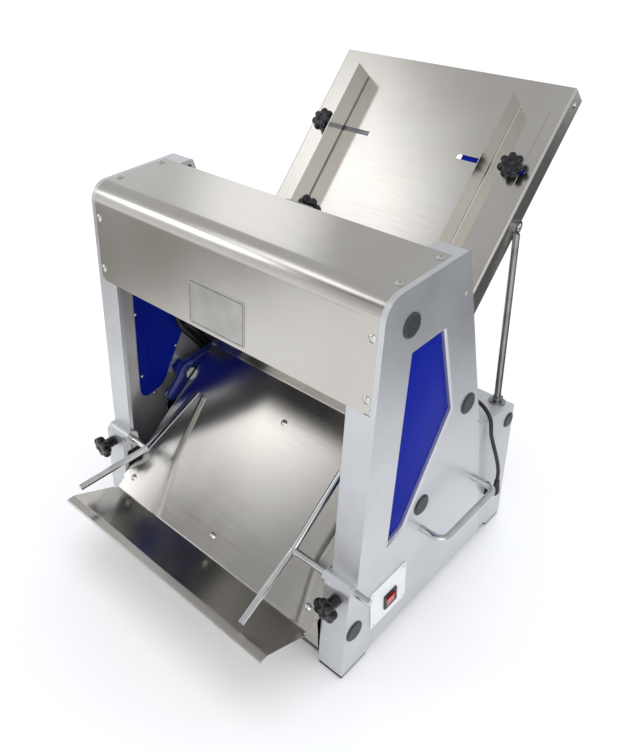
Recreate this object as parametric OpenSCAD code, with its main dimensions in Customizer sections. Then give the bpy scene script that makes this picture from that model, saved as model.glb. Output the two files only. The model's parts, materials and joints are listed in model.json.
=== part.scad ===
// Bench bread slicer: two side castings carry a sheet cover, a sloped infeed tray, an outfeed
// chute and, inside, two blade frames that saw in opposite directions.
// Millimetres. x runs across the machine, y from front to rear, z up from the floor.

/* [Side castings] */
// Width over the outer faces of the two side castings
frame_w = 620; // [600:1:650]
// Height of the side castings
frame_h = 664; // [655:1:690]
// Depth of each pan-shaped casting, across the machine
casting_d = 50; // [47:1:53]
// Thickness of a casting's outer wall
casting_wall = 8; // [6:0.5:9]
// Thickness of the rim round a casting
casting_rim = 8; // [6:0.5:9]
// Lean of the tower's front edge, in degrees
front_lean = 7; // [6.5:0.1:7.5]
// Lean of the tower's rear edge, in degrees
rear_lean = 12.9; // [12:0.1:14]
// Depth of the tower along its top
tower_d = 180; // [176:1:190]
// Step from the tower's front edge to the front leg
shoulder_d = 19; // [15:1:22]
// Round where the tower's front turns into its top
brow_r = 34; // [28:1:40]
// Frame left in front of and behind the window
window_margin = 71; // [66:1:76]
// Diameter of the round hole plugs
plug_d = 37; // [34:1:39]

/* [Base] */
// Depth of the rear housing behind the castings' heels
house_d = 81.3; // [76:0.1:110]
// Height of the deck where it meets the tower
deck_h = 304; // [298:1:310]
// Thickness of the rubber feet
foot_t = 6; // [4:0.5:8]

/* [Cover and trays] */
// Thickness of the stainless sheets
sheet_t = 1.5; // [1.2:0.1:2]
// Height of the cover's front face
cover_h = 167; // [150:1:172]
// Width of the infeed tray
tray_w = 480; // [460:1:488]
// Slope of the infeed tray, in degrees
tray_angle = 45; // [43:1:47]
// Length of the infeed tray behind the tower
tray_len = 490; // [460:1:520]
// Depth of the tray's turned-down sides
tray_side = 38; // [34:1:42]
// Height of a bread fence above the tray
fence_h = 43; // [30:1:48]
// Slope of the outfeed chute, in degrees
chute_angle = 35; // [34:0.5:36]
// Length of the chute's front ledge
ledge_len = 96; // [80:1:110]
// Diameter of the outfeed guide rods
guide_d = 12; // [10:0.5:13]
// Diameter of the star knobs
knob_d = 45; // [38:1:48]
// Diameter of the carry handles' rod
handle_d = 12; // [10:0.5:14]
// Reach of a carry handle from the casting
handle_reach = 45; // [40:1:55]

/* [Blades] */
// Thickness of a slice
slice_t = 12; // [11:0.5:13]
// Number of blades in each blade frame
blade_count = 15; // [11:1:15]
// Width of a blade
blade_w = 11; // [9:0.5:12]
// Thickness of a blade
blade_t = 0.7; // [0.5:0.1:1]
// Half of a blade frame's stroke
half_stroke = 18; // [14:1:19]

/* [Cord] */
// Diameter of the mains cord
cord_d = 7; // [6:0.5:8]

/* [Hidden] */
$fn = 64;

// Overrun of every cut, gap between seated pieces, running clearance of a pin in its bore
over = 1;
fit = 0.1;
run = 0.05;
// Angle between the points of a rounded corner
arc_step = 7.5;

// Planes of the castings, across the machine
half_w = frame_w / 2;
wall_x = half_w - casting_wall;
rim_x = half_w - casting_d;

// Tower and leg: the front edges lean back in step, the rear edge leans forward
front_set = 17;
shoulder_h = 195.5;
shoulder_r = 17;
shoulder_root_r = 3;
function front_y(z) = front_set + z * tan(front_lean);
function leg_y(z) = front_y(z) - shoulder_d;
rear_top_y = front_y(frame_h) + tower_d;
function rear_y(z) = rear_top_y + (frame_h - z) * tan(rear_lean);
heel_lean = 8.5;
arch_rise = 12;
arch_h = foot_t + arch_rise;
front_foot_len = 64;
rear_foot_len = 46;
heel_y = rear_y(deck_h) + (deck_h - arch_h) * tan(heel_lean);
base_len = heel_y + house_d;
rear_top_r = 6;
edge_r = 3;
outline = [
    [leg_y(foot_t), foot_t],
    [front_foot_len, foot_t],
    [front_foot_len + arch_rise, arch_h],
    [heel_y, arch_h],
    [rear_y(deck_h), deck_h],
    [rear_top_y, frame_h],
    [front_y(frame_h), frame_h],
    [front_y(shoulder_h), shoulder_h],
    [leg_y(shoulder_h), shoulder_h]];
outline_r = [edge_r, 0, 0, edge_r, 0, rear_top_r, brow_r, shoulder_root_r, shoulder_r];
pocket_r = [edge_r, 0, 0, edge_r, 0, edge_r, brow_r - casting_rim, shoulder_root_r + casting_rim, edge_r];

// Window in the outer wall, and the panel that closes it from inside
window_drop = 104;
window_top_h = frame_h - window_drop;
window_knee_h = 398;
window_toe = [153, 231];
window_low_h = 224;
window_bevel = 3;
window_r = 6;
window_toe_r = 24;
panel_t = 2;
panel_lap = 11;
panel_dish = 7;
panel_dish_in = 16;
panel_rise = 4;
window = [
    [front_y(window_low_h) + window_margin, window_low_h],
    window_toe,
    [rear_y(window_knee_h) - window_margin, window_knee_h],
    [rear_y(window_top_h) - window_margin, window_top_h],
    [front_y(window_top_h) + window_margin, window_top_h]];
window_radii = [window_r, window_toe_r, window_r, window_r, window_r];

// Guide boss, with its clamp lug under it
guide_boss_r = 14;
guide_back = 15;
guide_drop = 12.5;
guide_y = leg_y(shoulder_h) + guide_back;
guide_h = shoulder_h - guide_drop;
guide_boss_in = 8;
guide_boss_x = rim_x - guide_boss_in;
lug_back = 18;
lug_h = 32;
slit_w = 2;
clamp_drop = 13;
clamp_h = guide_h - clamp_drop;
clamp_screw_r = 4;
clamp_in = 22;
clamp_x = half_w - clamp_in;
clamp_depth = 36;

// Bosses behind the hole plugs, with a counterbore for a bolt head or nut
boss_r = 20;
boss_h = 10;
plug_bore_r = 15;
plug_bore_d = 10;
tie_r = 13;
boss_x = wall_x - boss_h;
seat_x = half_w - plug_bore_d;
tie_front_h = 95;
tie_front_gap = 1.5;
tie_front = [leg_y(tie_front_h) + casting_rim + tie_r + tie_front_gap, tie_front_h];

// Pivots of the rocker arms; the blade frames lie along the line between them
pivot_low = [200, 246];
pivot_drop = 56;
pivot_back = 58.5;
pivot_top = [front_y(frame_h - pivot_drop) + pivot_back, frame_h - pivot_drop];
frame_len = norm(pivot_top - pivot_low);
tilt = atan2(pivot_low[0] - pivot_top[0], pivot_top[1] - pivot_low[1]);
pivot_r = 8;
arm_a = 83;
arm_b = 106;
rail_d = 14;
beam_d = 20;
// Directions across and along the blades, and the bench place of a point in their frame
mech_across = [cos(tilt), sin(tilt)];
mech_along = [-sin(tilt), cos(tilt)];
function mech(p) = pivot_low + p[0] * mech_across + p[1] * mech_along;

// Infeed tray: its plane crosses the tower's rear edge at a set height, u runs up along it and
// v stands off it. tray_u gives u where the line at distance a along the rocker arms meets v.
tray_rise = 120;
tray_cross_h = deck_h + tray_rise;
tray_cross = [rear_y(tray_cross_h), tray_cross_h];
tray_dir = [cos(tray_angle), sin(tray_angle)];
tray_up = [-sin(tray_angle), cos(tray_angle)];
function tray_u(a, v) = (a - (tray_cross - pivot_low) * mech_across - v * tray_up * mech_across)
    / (tray_dir * mech_across);
tie_gap = 5;
tie_rear_v = -(sheet_t + fit + tie_r);
tie_rear_u = tray_u(arm_b + rail_d / 2 + tie_gap + tie_r, tie_rear_v);
tie_rear = tray_cross + tie_rear_u * tray_dir + tie_rear_v * tray_up;

// Front and rear reach of the whole machine, without the cord, put the origin in the middle
chute_fold = [-17, 91];
ledge_angle = 25;
lip_len = 14;
lip_r = 2.5;
ledge_end = chute_fold + ledge_len * [-cos(ledge_angle), sin(ledge_angle)];
lip_y = ledge_end[0] - lip_len;
front_reach = lip_y - lip_r;
rear_reach = tray_cross[0] + tray_len * cos(tray_angle) + tray_side * sin(tray_angle);
origin_y = (front_reach + rear_reach) / 2;

// Small geometry
function unit(v) = v / norm(v);
function left_of(v) = [-v[1], v[0]];
function turn_of(a, b) = a[0] * b[1] - a[1] * b[0];
function reversed(p) = [for (i = [len(p) - 1:-1:0]) p[i]];

// Points of the arc that rounds corner b between its neighbours a and c
function corner(a, b, c, r) = r <= 0 ? [b] : let (
        u = unit(a - b),
        v = unit(c - b),
        half = acos(u * v) / 2,
        mid = b + unit(u + v) * r / sin(half),
        first = b + u * r / tan(half) - mid,
        last = b + v * r / tan(half) - mid,
        start = atan2(first[1], first[0]),
        sweep = (atan2(last[1], last[0]) - start + 540) % 360 - 180,
        steps = max(2, ceil(abs(sweep) / arc_step)))
    [for (i = [0:steps]) mid + r * [cos(start + sweep * i / steps), sin(start + sweep * i / steps)]];

// Closed outline p with its corners rounded by the radii r
function rounded(p, r) = let (n = len(p))
    [for (i = [0:n - 1]) each corner(p[(i + n - 1) % n], p[i], p[(i + 1) % n], r[i])];

// Closed anticlockwise outline moved in by d along every edge
function inset(p, d) = let (n = len(p)) [for (i = [0:n - 1]) let (
        e = left_of(unit(p[i] - p[(i + n - 1) % n])),
        f = left_of(unit(p[(i + 1) % n] - p[i])))
    p[i] + d * (e + f) / (1 + e * f)];

// Open path moved to its left by d
function shifted(p, d) = let (n = len(p) - 1) [for (i = [0:n]) let (
        e = left_of(unit(p[max(i, 1)] - p[max(i, 1) - 1])),
        f = left_of(unit(p[min(i, n - 1) + 1] - p[min(i, n - 1)])))
    p[i] + d * (e + f) / (1 + e * f)];

// One side of a bent sheet: inner bends have radius r, outer ones r + t
function bends(p, r, t, far) = let (n = len(p) - 1) [for (i = [0:n]) each
    i == 0 || i == n ? [p[i]] : let (left = turn_of(p[i] - p[i - 1], p[i + 1] - p[i]) > 0)
        corner(p[i - 1], p[i], p[i + 1], r + (left != far ? t : 0))];

// Section of a sheet of thickness t on the left of an open path
function sheet(p, r, t) = concat(bends(p, r, t, false), reversed(bends(shifted(p, t), r, t, true)));

// Placing
module bench() { translate([0, -origin_y, 0]) children(); }
module both() {
    children();
    mirror([1, 0, 0]) children();
}
module at(p) { translate([0, p[0], p[1]]) children(); }
// A (y, z) outline carried across from x0 to x1
module across(x0, x1) {
    translate([x0, 0, 0]) rotate([90, 0, 90]) linear_extrude(x1 - x0) children();
}
// An (x, z) outline carried from y0 to y1
module along(y0, y1) {
    translate([0, y1, 0]) rotate([90, 0, 0]) linear_extrude(y1 - y0) children();
}
module axle(x0, x1, r) {
    translate([x0, 0, 0]) rotate([0, 90, 0]) cylinder(h = x1 - x0, r = r);
}
module hex(x0, x1, r) {
    translate([x0, 0, 0]) rotate([0, 90, 0]) cylinder(h = x1 - x0, r = r, $fn = 6);
}
module rod(a, b, r) {
    d = b - a;
    translate(a) rotate([0, acos(d[2] / norm(d)), atan2(d[1], d[0])]) cylinder(h = norm(d), r = r);
}
// Two discs and the flanks between them, which meet the discs just inside the tangent
flank_share = 0.96;
module link(a, b, ra, rb) {
    d = norm(b - a);
    aim = atan2(b[1] - a[1], b[0] - a[0]);
    flank = acos((ra - rb) / d);
    up = flank_share * [cos(aim + flank), sin(aim + flank)];
    down = flank_share * [cos(aim - flank), sin(aim - flank)];
    translate(a) circle(ra);
    translate(b) circle(rb);
    polygon([a + ra * up, b + rb * up, b + rb * down, a + ra * down]);
}
// Screw with a domed head on z = 0 and its shank below
module dome_screw(head_r, head_h, shank_r, shank_len) {
    dome_r = (head_r * head_r + head_h * head_h) / (2 * head_h);
    spread = asin(head_r / dome_r);
    rotate_extrude() polygon(concat(
        [[0, -shank_len], [shank_r, -shank_len], [shank_r, 0]],
        [for (i = [0:5]) let (a = spread * (1 - i / 5)) [dome_r * sin(a), head_h - dome_r * (1 - cos(a))]]));
}

// Frames of reference: on the tower's front face, on its rear edge, on the tray, on the chute,
// on the deck, and along the blades
module on_front(z) { translate([0, front_y(z), z]) rotate([-front_lean, 0, 0]) children(); }
module on_rear() { translate([0, rear_top_y, frame_h]) rotate([rear_lean, 0, 0]) children(); }
module on_tray() { at(tray_cross) rotate([tray_angle, 0, 0]) children(); }
module on_chute() { at(chute_fold) rotate([chute_angle, 0, 0]) children(); }
module on_deck() { translate([0, rear_y(deck_h), deck_h]) rotate([-rear_lean, 0, 0]) children(); }
module in_mech() { at(pivot_low) rotate([tilt, 0, 0]) children(); }

// Stack of pieces on a rocker pivot, from the casting's boss inwards
spacer_len = 13;
spacer_r = 22;
stack_gap = 1;
arm_t = 7;
arm_gap = 3;
rocker_b_x1 = boss_x - spacer_len - stack_gap;
rocker_b_x0 = rocker_b_x1 - arm_t;
rocker_a_x1 = rocker_b_x0 - arm_gap;
rocker_a_x0 = rocker_a_x1 - arm_t;
rail_gap = 13;
rail_w = 12;
rail_x1 = rocker_a_x0 - rail_gap;
rail_x0 = rail_x1 - rail_w;

// Blade places: the two sets share one row, a slice apart, and take every second place
function blade_x(k, set) = (2 * k + set - (2 * blade_count - 1) / 2) * slice_t;

// Side castings
ledge_w = 20;
ledge_end_gap = 12;
tie_bolt_r = 5;
handle_h = 190;
handle_in = 44.7;
handle_span = 156;
handle_rear_y = heel_y - handle_in;
handle_front_y = handle_rear_y - handle_span;
switch_mid = [121, 94];
switch_size = 27;
cover_edge = 9;
cover_x = half_w - cover_edge;
cover_z = frame_h - cover_h;
cover_back = 29;
cover_rear_y = rear_top_y - cover_back;
cover_path = [[cover_rear_y, frame_h], [front_y(frame_h), frame_h], [front_y(cover_z), cover_z]];
cover_screw_in = 18;
cover_screw_r = 3;
cover_screw_len = 7.5;
cover_screw_low = 23;
cover_screw_high = 113;
cover_screw_front = 48;
cover_screw_rear = 15;

// Places of the cover's screws on the right side, heads outwards
module cover_places() {
    translate([half_w - cover_screw_in, 0, 0]) {
        for (z = [cover_z + cover_screw_low, cover_z + cover_screw_high])
            on_front(z) rotate([90, 0, 0]) children();
        for (y = [front_y(frame_h) + cover_screw_front, cover_rear_y - cover_screw_rear])
            at([y, frame_h]) children();
    }
}

module casting(has_switch) {
    difference() {
        union() {
            difference() {
                across(rim_x, half_w) polygon(rounded(outline, outline_r));
                across(rim_x - over, wall_x) polygon(rounded(inset(outline, casting_rim), pocket_r));
            }
            for (p = [pivot_low, pivot_top, tie_rear, tie_front]) at(p) axle(boss_x, wall_x + over, boss_r);
            at([guide_y, guide_h]) axle(guide_boss_x, wall_x + over, guide_boss_r);
            across(rim_x, wall_x + over) polygon([
                [leg_y(guide_h - lug_h) + over, guide_h - lug_h],
                [guide_y + lug_back, guide_h - lug_h],
                [guide_y + lug_back, guide_h],
                [leg_y(guide_h) + over, guide_h]]);
            across(rim_x - ledge_w, rim_x + over) translate([front_foot_len + arch_rise, arch_h])
                square([heel_y - front_foot_len - arch_rise - ledge_end_gap, casting_rim]);
        }
        across(wall_x - over, half_w + over) polygon(rounded(window, window_radii));
        hull() {
            across(half_w - window_bevel, half_w) polygon(rounded(window, window_radii));
            across(half_w, half_w + fit) polygon(inset(window, -window_bevel));
        }
        for (p = [pivot_low, pivot_top]) at(p) {
            axle(seat_x, half_w + over, plug_bore_r);
            axle(boss_x - over, half_w, pivot_r + run);
        }
        for (p = [tie_rear, tie_front]) at(p) {
            axle(seat_x, half_w + over, plug_bore_r);
            axle(boss_x - over, half_w, tie_bolt_r + run);
        }
        across(rim_x - over, cover_x)
            polygon(sheet(shifted(cover_path, -over), brow_r - sheet_t - fit, over + sheet_t + fit));
        cover_places() translate([0, 0, -cover_screw_len - casting_rim])
            cylinder(h = cover_screw_len + casting_rim + over, r = cover_screw_r + run);
        at([guide_y, guide_h]) axle(guide_boss_x - over, half_w + over, guide_d / 2 + run);
        translate([guide_boss_x - over, guide_y - slit_w / 2, guide_h - lug_h - over])
            cube([wall_x - guide_boss_x, slit_w, lug_h + over]);
        translate([clamp_x, leg_y(clamp_h) - over, clamp_h]) rotate([-90, 0, 0])
            cylinder(h = clamp_depth + over, r = clamp_screw_r + run);
        for (y = [handle_front_y, handle_rear_y])
            at([y, handle_h]) axle(wall_x - over, half_w + over, handle_d / 2 + fit);
        if (has_switch)
            across(wall_x - over, half_w + over)
                translate(switch_mid) square(switch_size + fit, center = true);
    }
}
module side_frame_left() { color("#b6bac0") bench() mirror([1, 0, 0]) casting(false); }
module side_frame_right() { color("#b6bac0") bench() casting(true); }

// Panels that close the windows from inside, dished outwards
module window_panels() {
    dish = inset(window, panel_dish);
    crown = inset(window, panel_dish + panel_dish_in);
    color("#18228c") bench() both() difference() {
        union() {
            across(wall_x - fit - panel_t, wall_x - fit)
                polygon(rounded(inset(window, -panel_lap), [for (r = window_radii) r + panel_lap]));
            hull() {
                across(wall_x - panel_t, wall_x - fit) polygon(dish);
                across(wall_x, wall_x + panel_rise) polygon(crown);
            }
        }
        hull() {
            across(wall_x - panel_t - over, wall_x - fit - panel_t) polygon(inset(dish, panel_t));
            across(wall_x - panel_t, wall_x + panel_rise - panel_t) polygon(inset(crown, panel_t));
        }
        at(pivot_low) axle(wall_x - panel_t - over, wall_x + over, boss_r + over);
    }
}

// Cover over the blade frames, let into the castings' rims
cover_corner_r = 16;
module top_cover() {
    lim = cover_x - fit;
    color("#a9a49c") bench() difference() {
        intersection() {
            across(-lim, lim) polygon(sheet(cover_path, brow_r - sheet_t, sheet_t));
            along(0, rear_top_y) polygon(rounded(
                [[-lim, cover_z], [lim, cover_z], [lim, frame_h + over], [-lim, frame_h + over]],
                [cover_corner_r, cover_corner_r, 0, 0]));
        }
        both() cover_places() translate([0, 0, -sheet_t - over])
            cylinder(h = sheet_t + 2 * over, r = cover_screw_r + fit);
    }
}
cover_head_r = 6.5;
cover_head_h = 3;
module cover_screws() {
    color("#d4d4d2") bench() both() cover_places()
        translate([0, 0, fit]) dome_screw(cover_head_r, cover_head_h, cover_screw_r, cover_screw_len);
}

// Infeed tray: channel with turned-down sides; its tongue is slotted for the blades
tray_bend_r = 2.5;
tongue_lead = 6;
tongue_w = (2 * blade_count + 2) * slice_t;
tongue_u = tray_u(arm_a - blade_w / 2 - tongue_lead, 0);
blade_slot_w = 3;
blade_slot_end = tray_u(arm_b + blade_w / 2 + tongue_lead, 0);
channel_gap = 4;
channel_u = tie_rear_u + tie_r + channel_gap;
fence_slot_u = 334;
fence_slot_w = 9;
fence_slot_x0 = 98;
fence_slot_in = 20;
fence_slot_x1 = tray_w / 2 - fence_slot_in;
strut_bolt_r = 4;
strut_u = 254;
strut_v = -27.5;
rivet_in = 20;
rivet_u = tray_len - rivet_in;
rivet_v = -tray_side / 2;
rivet_r = 2.5;
module infeed_tray() {
    side = tray_w / 2;
    color("#a9a49c") bench() on_tray() difference() {
        union() {
            along(channel_u, tray_len) polygon(sheet(
                [[side, -tray_side], [side, 0], [-side, 0], [-side, -tray_side]], tray_bend_r, sheet_t));
            translate([-tongue_w / 2, tongue_u, -sheet_t])
                cube([tongue_w, channel_u - tongue_u + over, sheet_t]);
        }
        for (k = [0:blade_count - 1], set = [0, 1])
            translate([blade_x(k, set) - blade_slot_w / 2, tongue_u - over, -sheet_t - over])
                cube([blade_slot_w, blade_slot_end - tongue_u + over, sheet_t + 2 * over]);
        both() translate([0, fence_slot_u, -sheet_t - over]) {
            translate([fence_slot_x0, -fence_slot_w / 2, 0])
                cube([fence_slot_x1 - fence_slot_x0, fence_slot_w, sheet_t + 2 * over]);
            for (x = [fence_slot_x0, fence_slot_x1]) translate([x, 0, 0])
                cylinder(h = sheet_t + 2 * over, r = fence_slot_w / 2);
        }
        both() at([strut_u, strut_v]) axle(side - sheet_t - over, side + over, strut_bolt_r + run);
        both() at([rivet_u, rivet_v]) axle(side - sheet_t - over, side + over, rivet_r + run);
    }
}

// Bread fences and their clamp knobs
fence_x = 161;
fence_foot = 55;
fence_u0 = 30;
fence_u1 = 444;
fence_knob_x = 204;
stud_r = 4;
module fence() {
    on_tray() difference() {
        along(fence_u0, fence_u1) polygon(sheet(
            [[fence_x, fence_h], [fence_x, fit], [fence_x + fence_foot, fit]], tray_bend_r, sheet_t));
        translate([fence_knob_x, fence_slot_u, -over]) cylinder(h = sheet_t + 2 * over, r = stud_r + run);
    }
}
module fence_left() { color("#aeaaa2") bench() mirror([1, 0, 0]) fence(); }
module fence_right() { color("#aeaaa2") bench() fence(); }

// Star knob: lobed head on a round neck, seated on z = 0, with its stud below
knob_lobes = 7;
knob_core_share = 0.36;
knob_ring_share = 0.365;
knob_lobe_share = 0.13;
knob_neck_share = 0.22;
knob_head_h = 17;
knob_skirt = 4;
knob_crown = 4;
knob_dimple_share = 0.16;
knob_dimple_d = 2;
module star_knob(neck_h, stud_len) {
    r = knob_d / 2;
    top = neck_h + knob_head_h;
    intersection() {
        rotate_extrude() polygon([[0, 0], [knob_neck_share * knob_d, 0], [knob_neck_share * knob_d, neck_h],
            [r, neck_h + knob_skirt], [r, top - knob_crown], [r - knob_crown, top],
            [knob_dimple_share * knob_d, top], [knob_dimple_share * knob_d, top - knob_dimple_d],
            [0, top - knob_dimple_d]]);
        union() {
            cylinder(h = neck_h + over, r = r);
            translate([0, 0, neck_h]) linear_extrude(knob_head_h + over) {
                circle(knob_core_share * knob_d);
                for (i = [0:knob_lobes - 1]) rotate(360 * i / knob_lobes)
                    translate([knob_ring_share * knob_d, 0]) circle(knob_lobe_share * knob_d);
            }
        }
    }
    translate([0, 0, -stud_len]) cylinder(h = stud_len + over, r = stud_r);
}
fence_neck_h = 5;
fence_nut_r = 9;
fence_nut_h = 6;
fence_nut_gap = 0.3;
module fence_knob() {
    seat = 2 * fit + sheet_t;
    nut_top = seat + sheet_t + fence_nut_gap;
    on_tray() translate([fence_knob_x, fence_slot_u, seat]) {
        star_knob(fence_neck_h, nut_top + fence_nut_h);
        translate([0, 0, -nut_top - fence_nut_h]) cylinder(h = fence_nut_h, r = fence_nut_r, $fn = 6);
    }
}
module fence_knob_left() { color("#17181a") bench() mirror([1, 0, 0]) fence_knob(); }
module fence_knob_right() { color("#17181a") bench() fence_knob(); }

// Bread press: a rail across the tower's rear, a sliding plate and its clamp knob
rear_rail_t = 6;
rear_rail_h = 46;
rear_rail_drop = 18;
press_stud_drop = 32;
module rear_rail() {
    color("#8e9196") bench() on_rear() difference() {
        translate([-wall_x + fit, -casting_rim - fit - rear_rail_t, -rear_rail_drop - rear_rail_h])
            cube([2 * (wall_x - fit), rear_rail_t, rear_rail_h]);
        translate([0, -casting_rim - rear_rail_t - over, -press_stud_drop]) rotate([-90, 0, 0])
            cylinder(h = rear_rail_t + 2 * over, r = stud_r + run);
    }
}
press_w = 260;
press_tab_w = 56;
press_tab_top = 12;
press_flap = 70;
press_slot_up = 6;
// The plate and its slot reach down by shares of the way from the tower's top to the tray
press_tab_share = 0.3;
press_low_share = 0.61;
press_slot_share = 0.1625;
tray_way = (frame_h - tray_cross_h) / cos(rear_lean);
press_tab_low = press_tab_share * tray_way;
press_low = press_low_share * tray_way;
press_slot_down = press_slot_share * tray_way;
module press_plate() {
    flap_angle = tray_angle - rear_lean;
    y = -casting_rim;
    color("#aeaaa2") bench() on_rear() difference() {
        union() {
            across(-press_w / 2, press_w / 2) polygon(sheet([[y, -press_tab_low], [y, -press_low],
                [y + press_flap * cos(flap_angle), -press_low + press_flap * sin(flap_angle)]],
                tray_bend_r, sheet_t));
            translate([-press_tab_w / 2, y, -press_tab_low - over])
                cube([press_tab_w, sheet_t, press_tab_low - press_tab_top + over]);
        }
        translate([-stud_r - fit, y - over, -press_stud_drop - press_slot_down])
            cube([2 * (stud_r + fit), sheet_t + 2 * over, press_slot_down + press_slot_up + stud_r]);
    }
}
press_neck_h = 8;
module press_knob() {
    color("#17181a") bench() on_rear() translate([0, -casting_rim + sheet_t + fit, -press_stud_drop])
        rotate([-90, 0, 0]) star_knob(press_neck_h, sheet_t + 2 * fit + rear_rail_t);
}

// Panel behind the blade frames, below the tray
rear_panel_gap = 11;
rear_panel_clear = 13;
rear_panel_top = tray_way + rear_panel_gap;
rear_panel_step = rear_panel_top + tray_side + rear_panel_clear;
rear_panel_in = 7.5;
module rear_panel() {
    low = (frame_h - deck_h) / cos(rear_lean);
    y = -casting_rim - fit - sheet_t;
    narrow = tray_w / 2 - rear_panel_in;
    color("#9a9ca0") bench() on_rear() {
        translate([-wall_x + fit, y, -low]) cube([2 * (wall_x - fit), sheet_t, low - rear_panel_step]);
        translate([-narrow, y, -rear_panel_step - over])
            cube([2 * narrow, sheet_t, rear_panel_step + over - rear_panel_top]);
    }
}

// Base: bent housing with the sloped deck, and the plate that carries the drive
house_inset = 3;
house_x = half_w - house_inset;
house_foot_w = 50;
rear_foot_y = base_len - rear_foot_len;
deck_fall = tan(rear_lean);
function deck_z(y) = deck_h - (y - rear_y(deck_h)) * deck_fall;
house_plug_in = 16;
house_plug_drop = 54;
house_plug = [base_len - house_plug_in, deck_h - house_plug_drop];
house_plug_r = 14.5;
house_plug_bore_r = 11;
gland_back = 20.3;
gland_y = heel_y + gland_back;
gland_h = 109;
gland_thread_r = 8;
module base_housing() {
    drop = sheet_t / cos(rear_lean);
    mouth = rear_y(deck_h) - casting_rim;
    inner = house_x - sheet_t;
    color("#b2b4b6") bench() difference() {
        union() {
            difference() {
                across(-house_x, house_x) polygon([[heel_y + fit, arch_h], [rear_foot_y - arch_rise, arch_h],
                    [rear_foot_y, foot_t], [base_len, foot_t], [base_len, deck_z(base_len)],
                    [rear_y(deck_h) + fit, deck_z(rear_y(deck_h) + fit)]]);
                across(-inner, inner) polygon([[mouth, foot_t - over], [base_len - sheet_t, foot_t - over],
                    [base_len - sheet_t, deck_z(base_len - sheet_t) - drop], [mouth, deck_z(mouth) - drop]]);
            }
            both() translate([house_x - house_foot_w, rear_foot_y, foot_t])
                cube([house_foot_w, rear_foot_len, sheet_t]);
            on_deck() translate([-rim_x + over, -casting_rim, -sheet_t])
                cube([2 * (rim_x - over), casting_rim + over, sheet_t]);
        }
        translate([-house_x + house_foot_w, base_len - sheet_t - over, 0])
            cube([2 * (house_x - house_foot_w), sheet_t + 2 * over, arch_h]);
        both() at(house_plug) axle(inner - over, house_x + over, house_plug_bore_r);
        at([gland_y, gland_h]) axle(inner - over, house_x + over, gland_thread_r + fit);
    }
}
plate_t = 3;
plate_z = arch_h + casting_rim + fit;
plate_top = plate_z + plate_t;
plate_front_y = 0;
module base_plate() {
    color("#85888c") bench() translate([-rim_x + over, plate_front_y, plate_z])
        cube([2 * (rim_x - over), base_len - sheet_t - over - plate_front_y, plate_t]);
}

// Outfeed chute: sloped sheet, upturned edge at the blades, front ledge with a rolled lip
chute_gap = 8;
chute_x = rim_x - chute_gap;
ledge_x = chute_x + 5;
chute_bend_r = 4;
chute_back = 7;
chute_upturn = 58;
chute_dir = [cos(chute_angle), sin(chute_angle)];
chute_down = [sin(chute_angle), -cos(chute_angle)];
chute_top_w = (arm_a - beam_d / 2 - chute_back - (chute_fold - pivot_low) * mech_across)
    / (chute_dir * mech_across);
chute_top = chute_fold + chute_top_w * chute_dir;
bolt_head_r = 6.5;
bolt_head_h = 3;
bolt_r = 3;
bolt_len = 9;
front_bolt_w = 33;
front_bolt_x = 232;
rear_bolt_w = 272;
module chute_bolt_places() {
    on_chute() {
        for (x = [-front_bolt_x, 0, front_bolt_x]) translate([x, front_bolt_w, 0]) children();
        translate([0, rear_bolt_w, 0]) children();
    }
}
module outfeed_tray() {
    lip = [lip_y, ledge_end[1]];
    ledge_start = chute_fold + chute_bend_r * 2 * [-cos(ledge_angle), sin(ledge_angle)];
    color("#a9a49c") bench() difference() {
        union() {
            across(-chute_x, chute_x) polygon(sheet([chute_top + chute_upturn * mech_along, chute_top,
                chute_fold, ledge_end, lip], chute_bend_r, sheet_t));
            across(-ledge_x, ledge_x) polygon(sheet([ledge_start, ledge_end, lip], chute_bend_r, sheet_t));
            at(lip - [0, lip_r]) axle(-ledge_x, ledge_x, lip_r);
        }
        chute_bolt_places() translate([0, 0, -sheet_t - over])
            cylinder(h = sheet_t + 2 * over, r = bolt_r + fit);
    }
}

// Brackets under the chute: bent plates from the base plate up to the chute's underside
function chute_under(w) = chute_fold + w * chute_dir + (sheet_t + fit) * chute_down;
bracket_bend_r = 3;
module chute_bracket(w_low, w_high, foot, half) {
    knee = chute_under(w_low);
    difference() {
        across(-half, half) polygon(sheet([chute_under(w_high), knee, [knee[0], plate_top + fit],
            [knee[0] + foot, plate_top + fit]], bracket_bend_r, sheet_t));
        chute_bolt_places() translate([0, 0, -bolt_len]) cylinder(h = bolt_len, r = bolt_r + fit);
    }
}
apron_w_low = 22;
apron_w_high = 50;
apron_foot = 20;
apron_gap = 2;
module front_apron() {
    color("#9d9a94") bench() chute_bracket(apron_w_low, apron_w_high, apron_foot, rim_x - apron_gap);
}
support_w_low = 258;
support_w_high = 296;
support_foot = 30;
support_half = 60;
module chute_support() {
    color("#85888c") bench() chute_bracket(support_w_low, support_w_high, support_foot, support_half);
}

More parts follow.
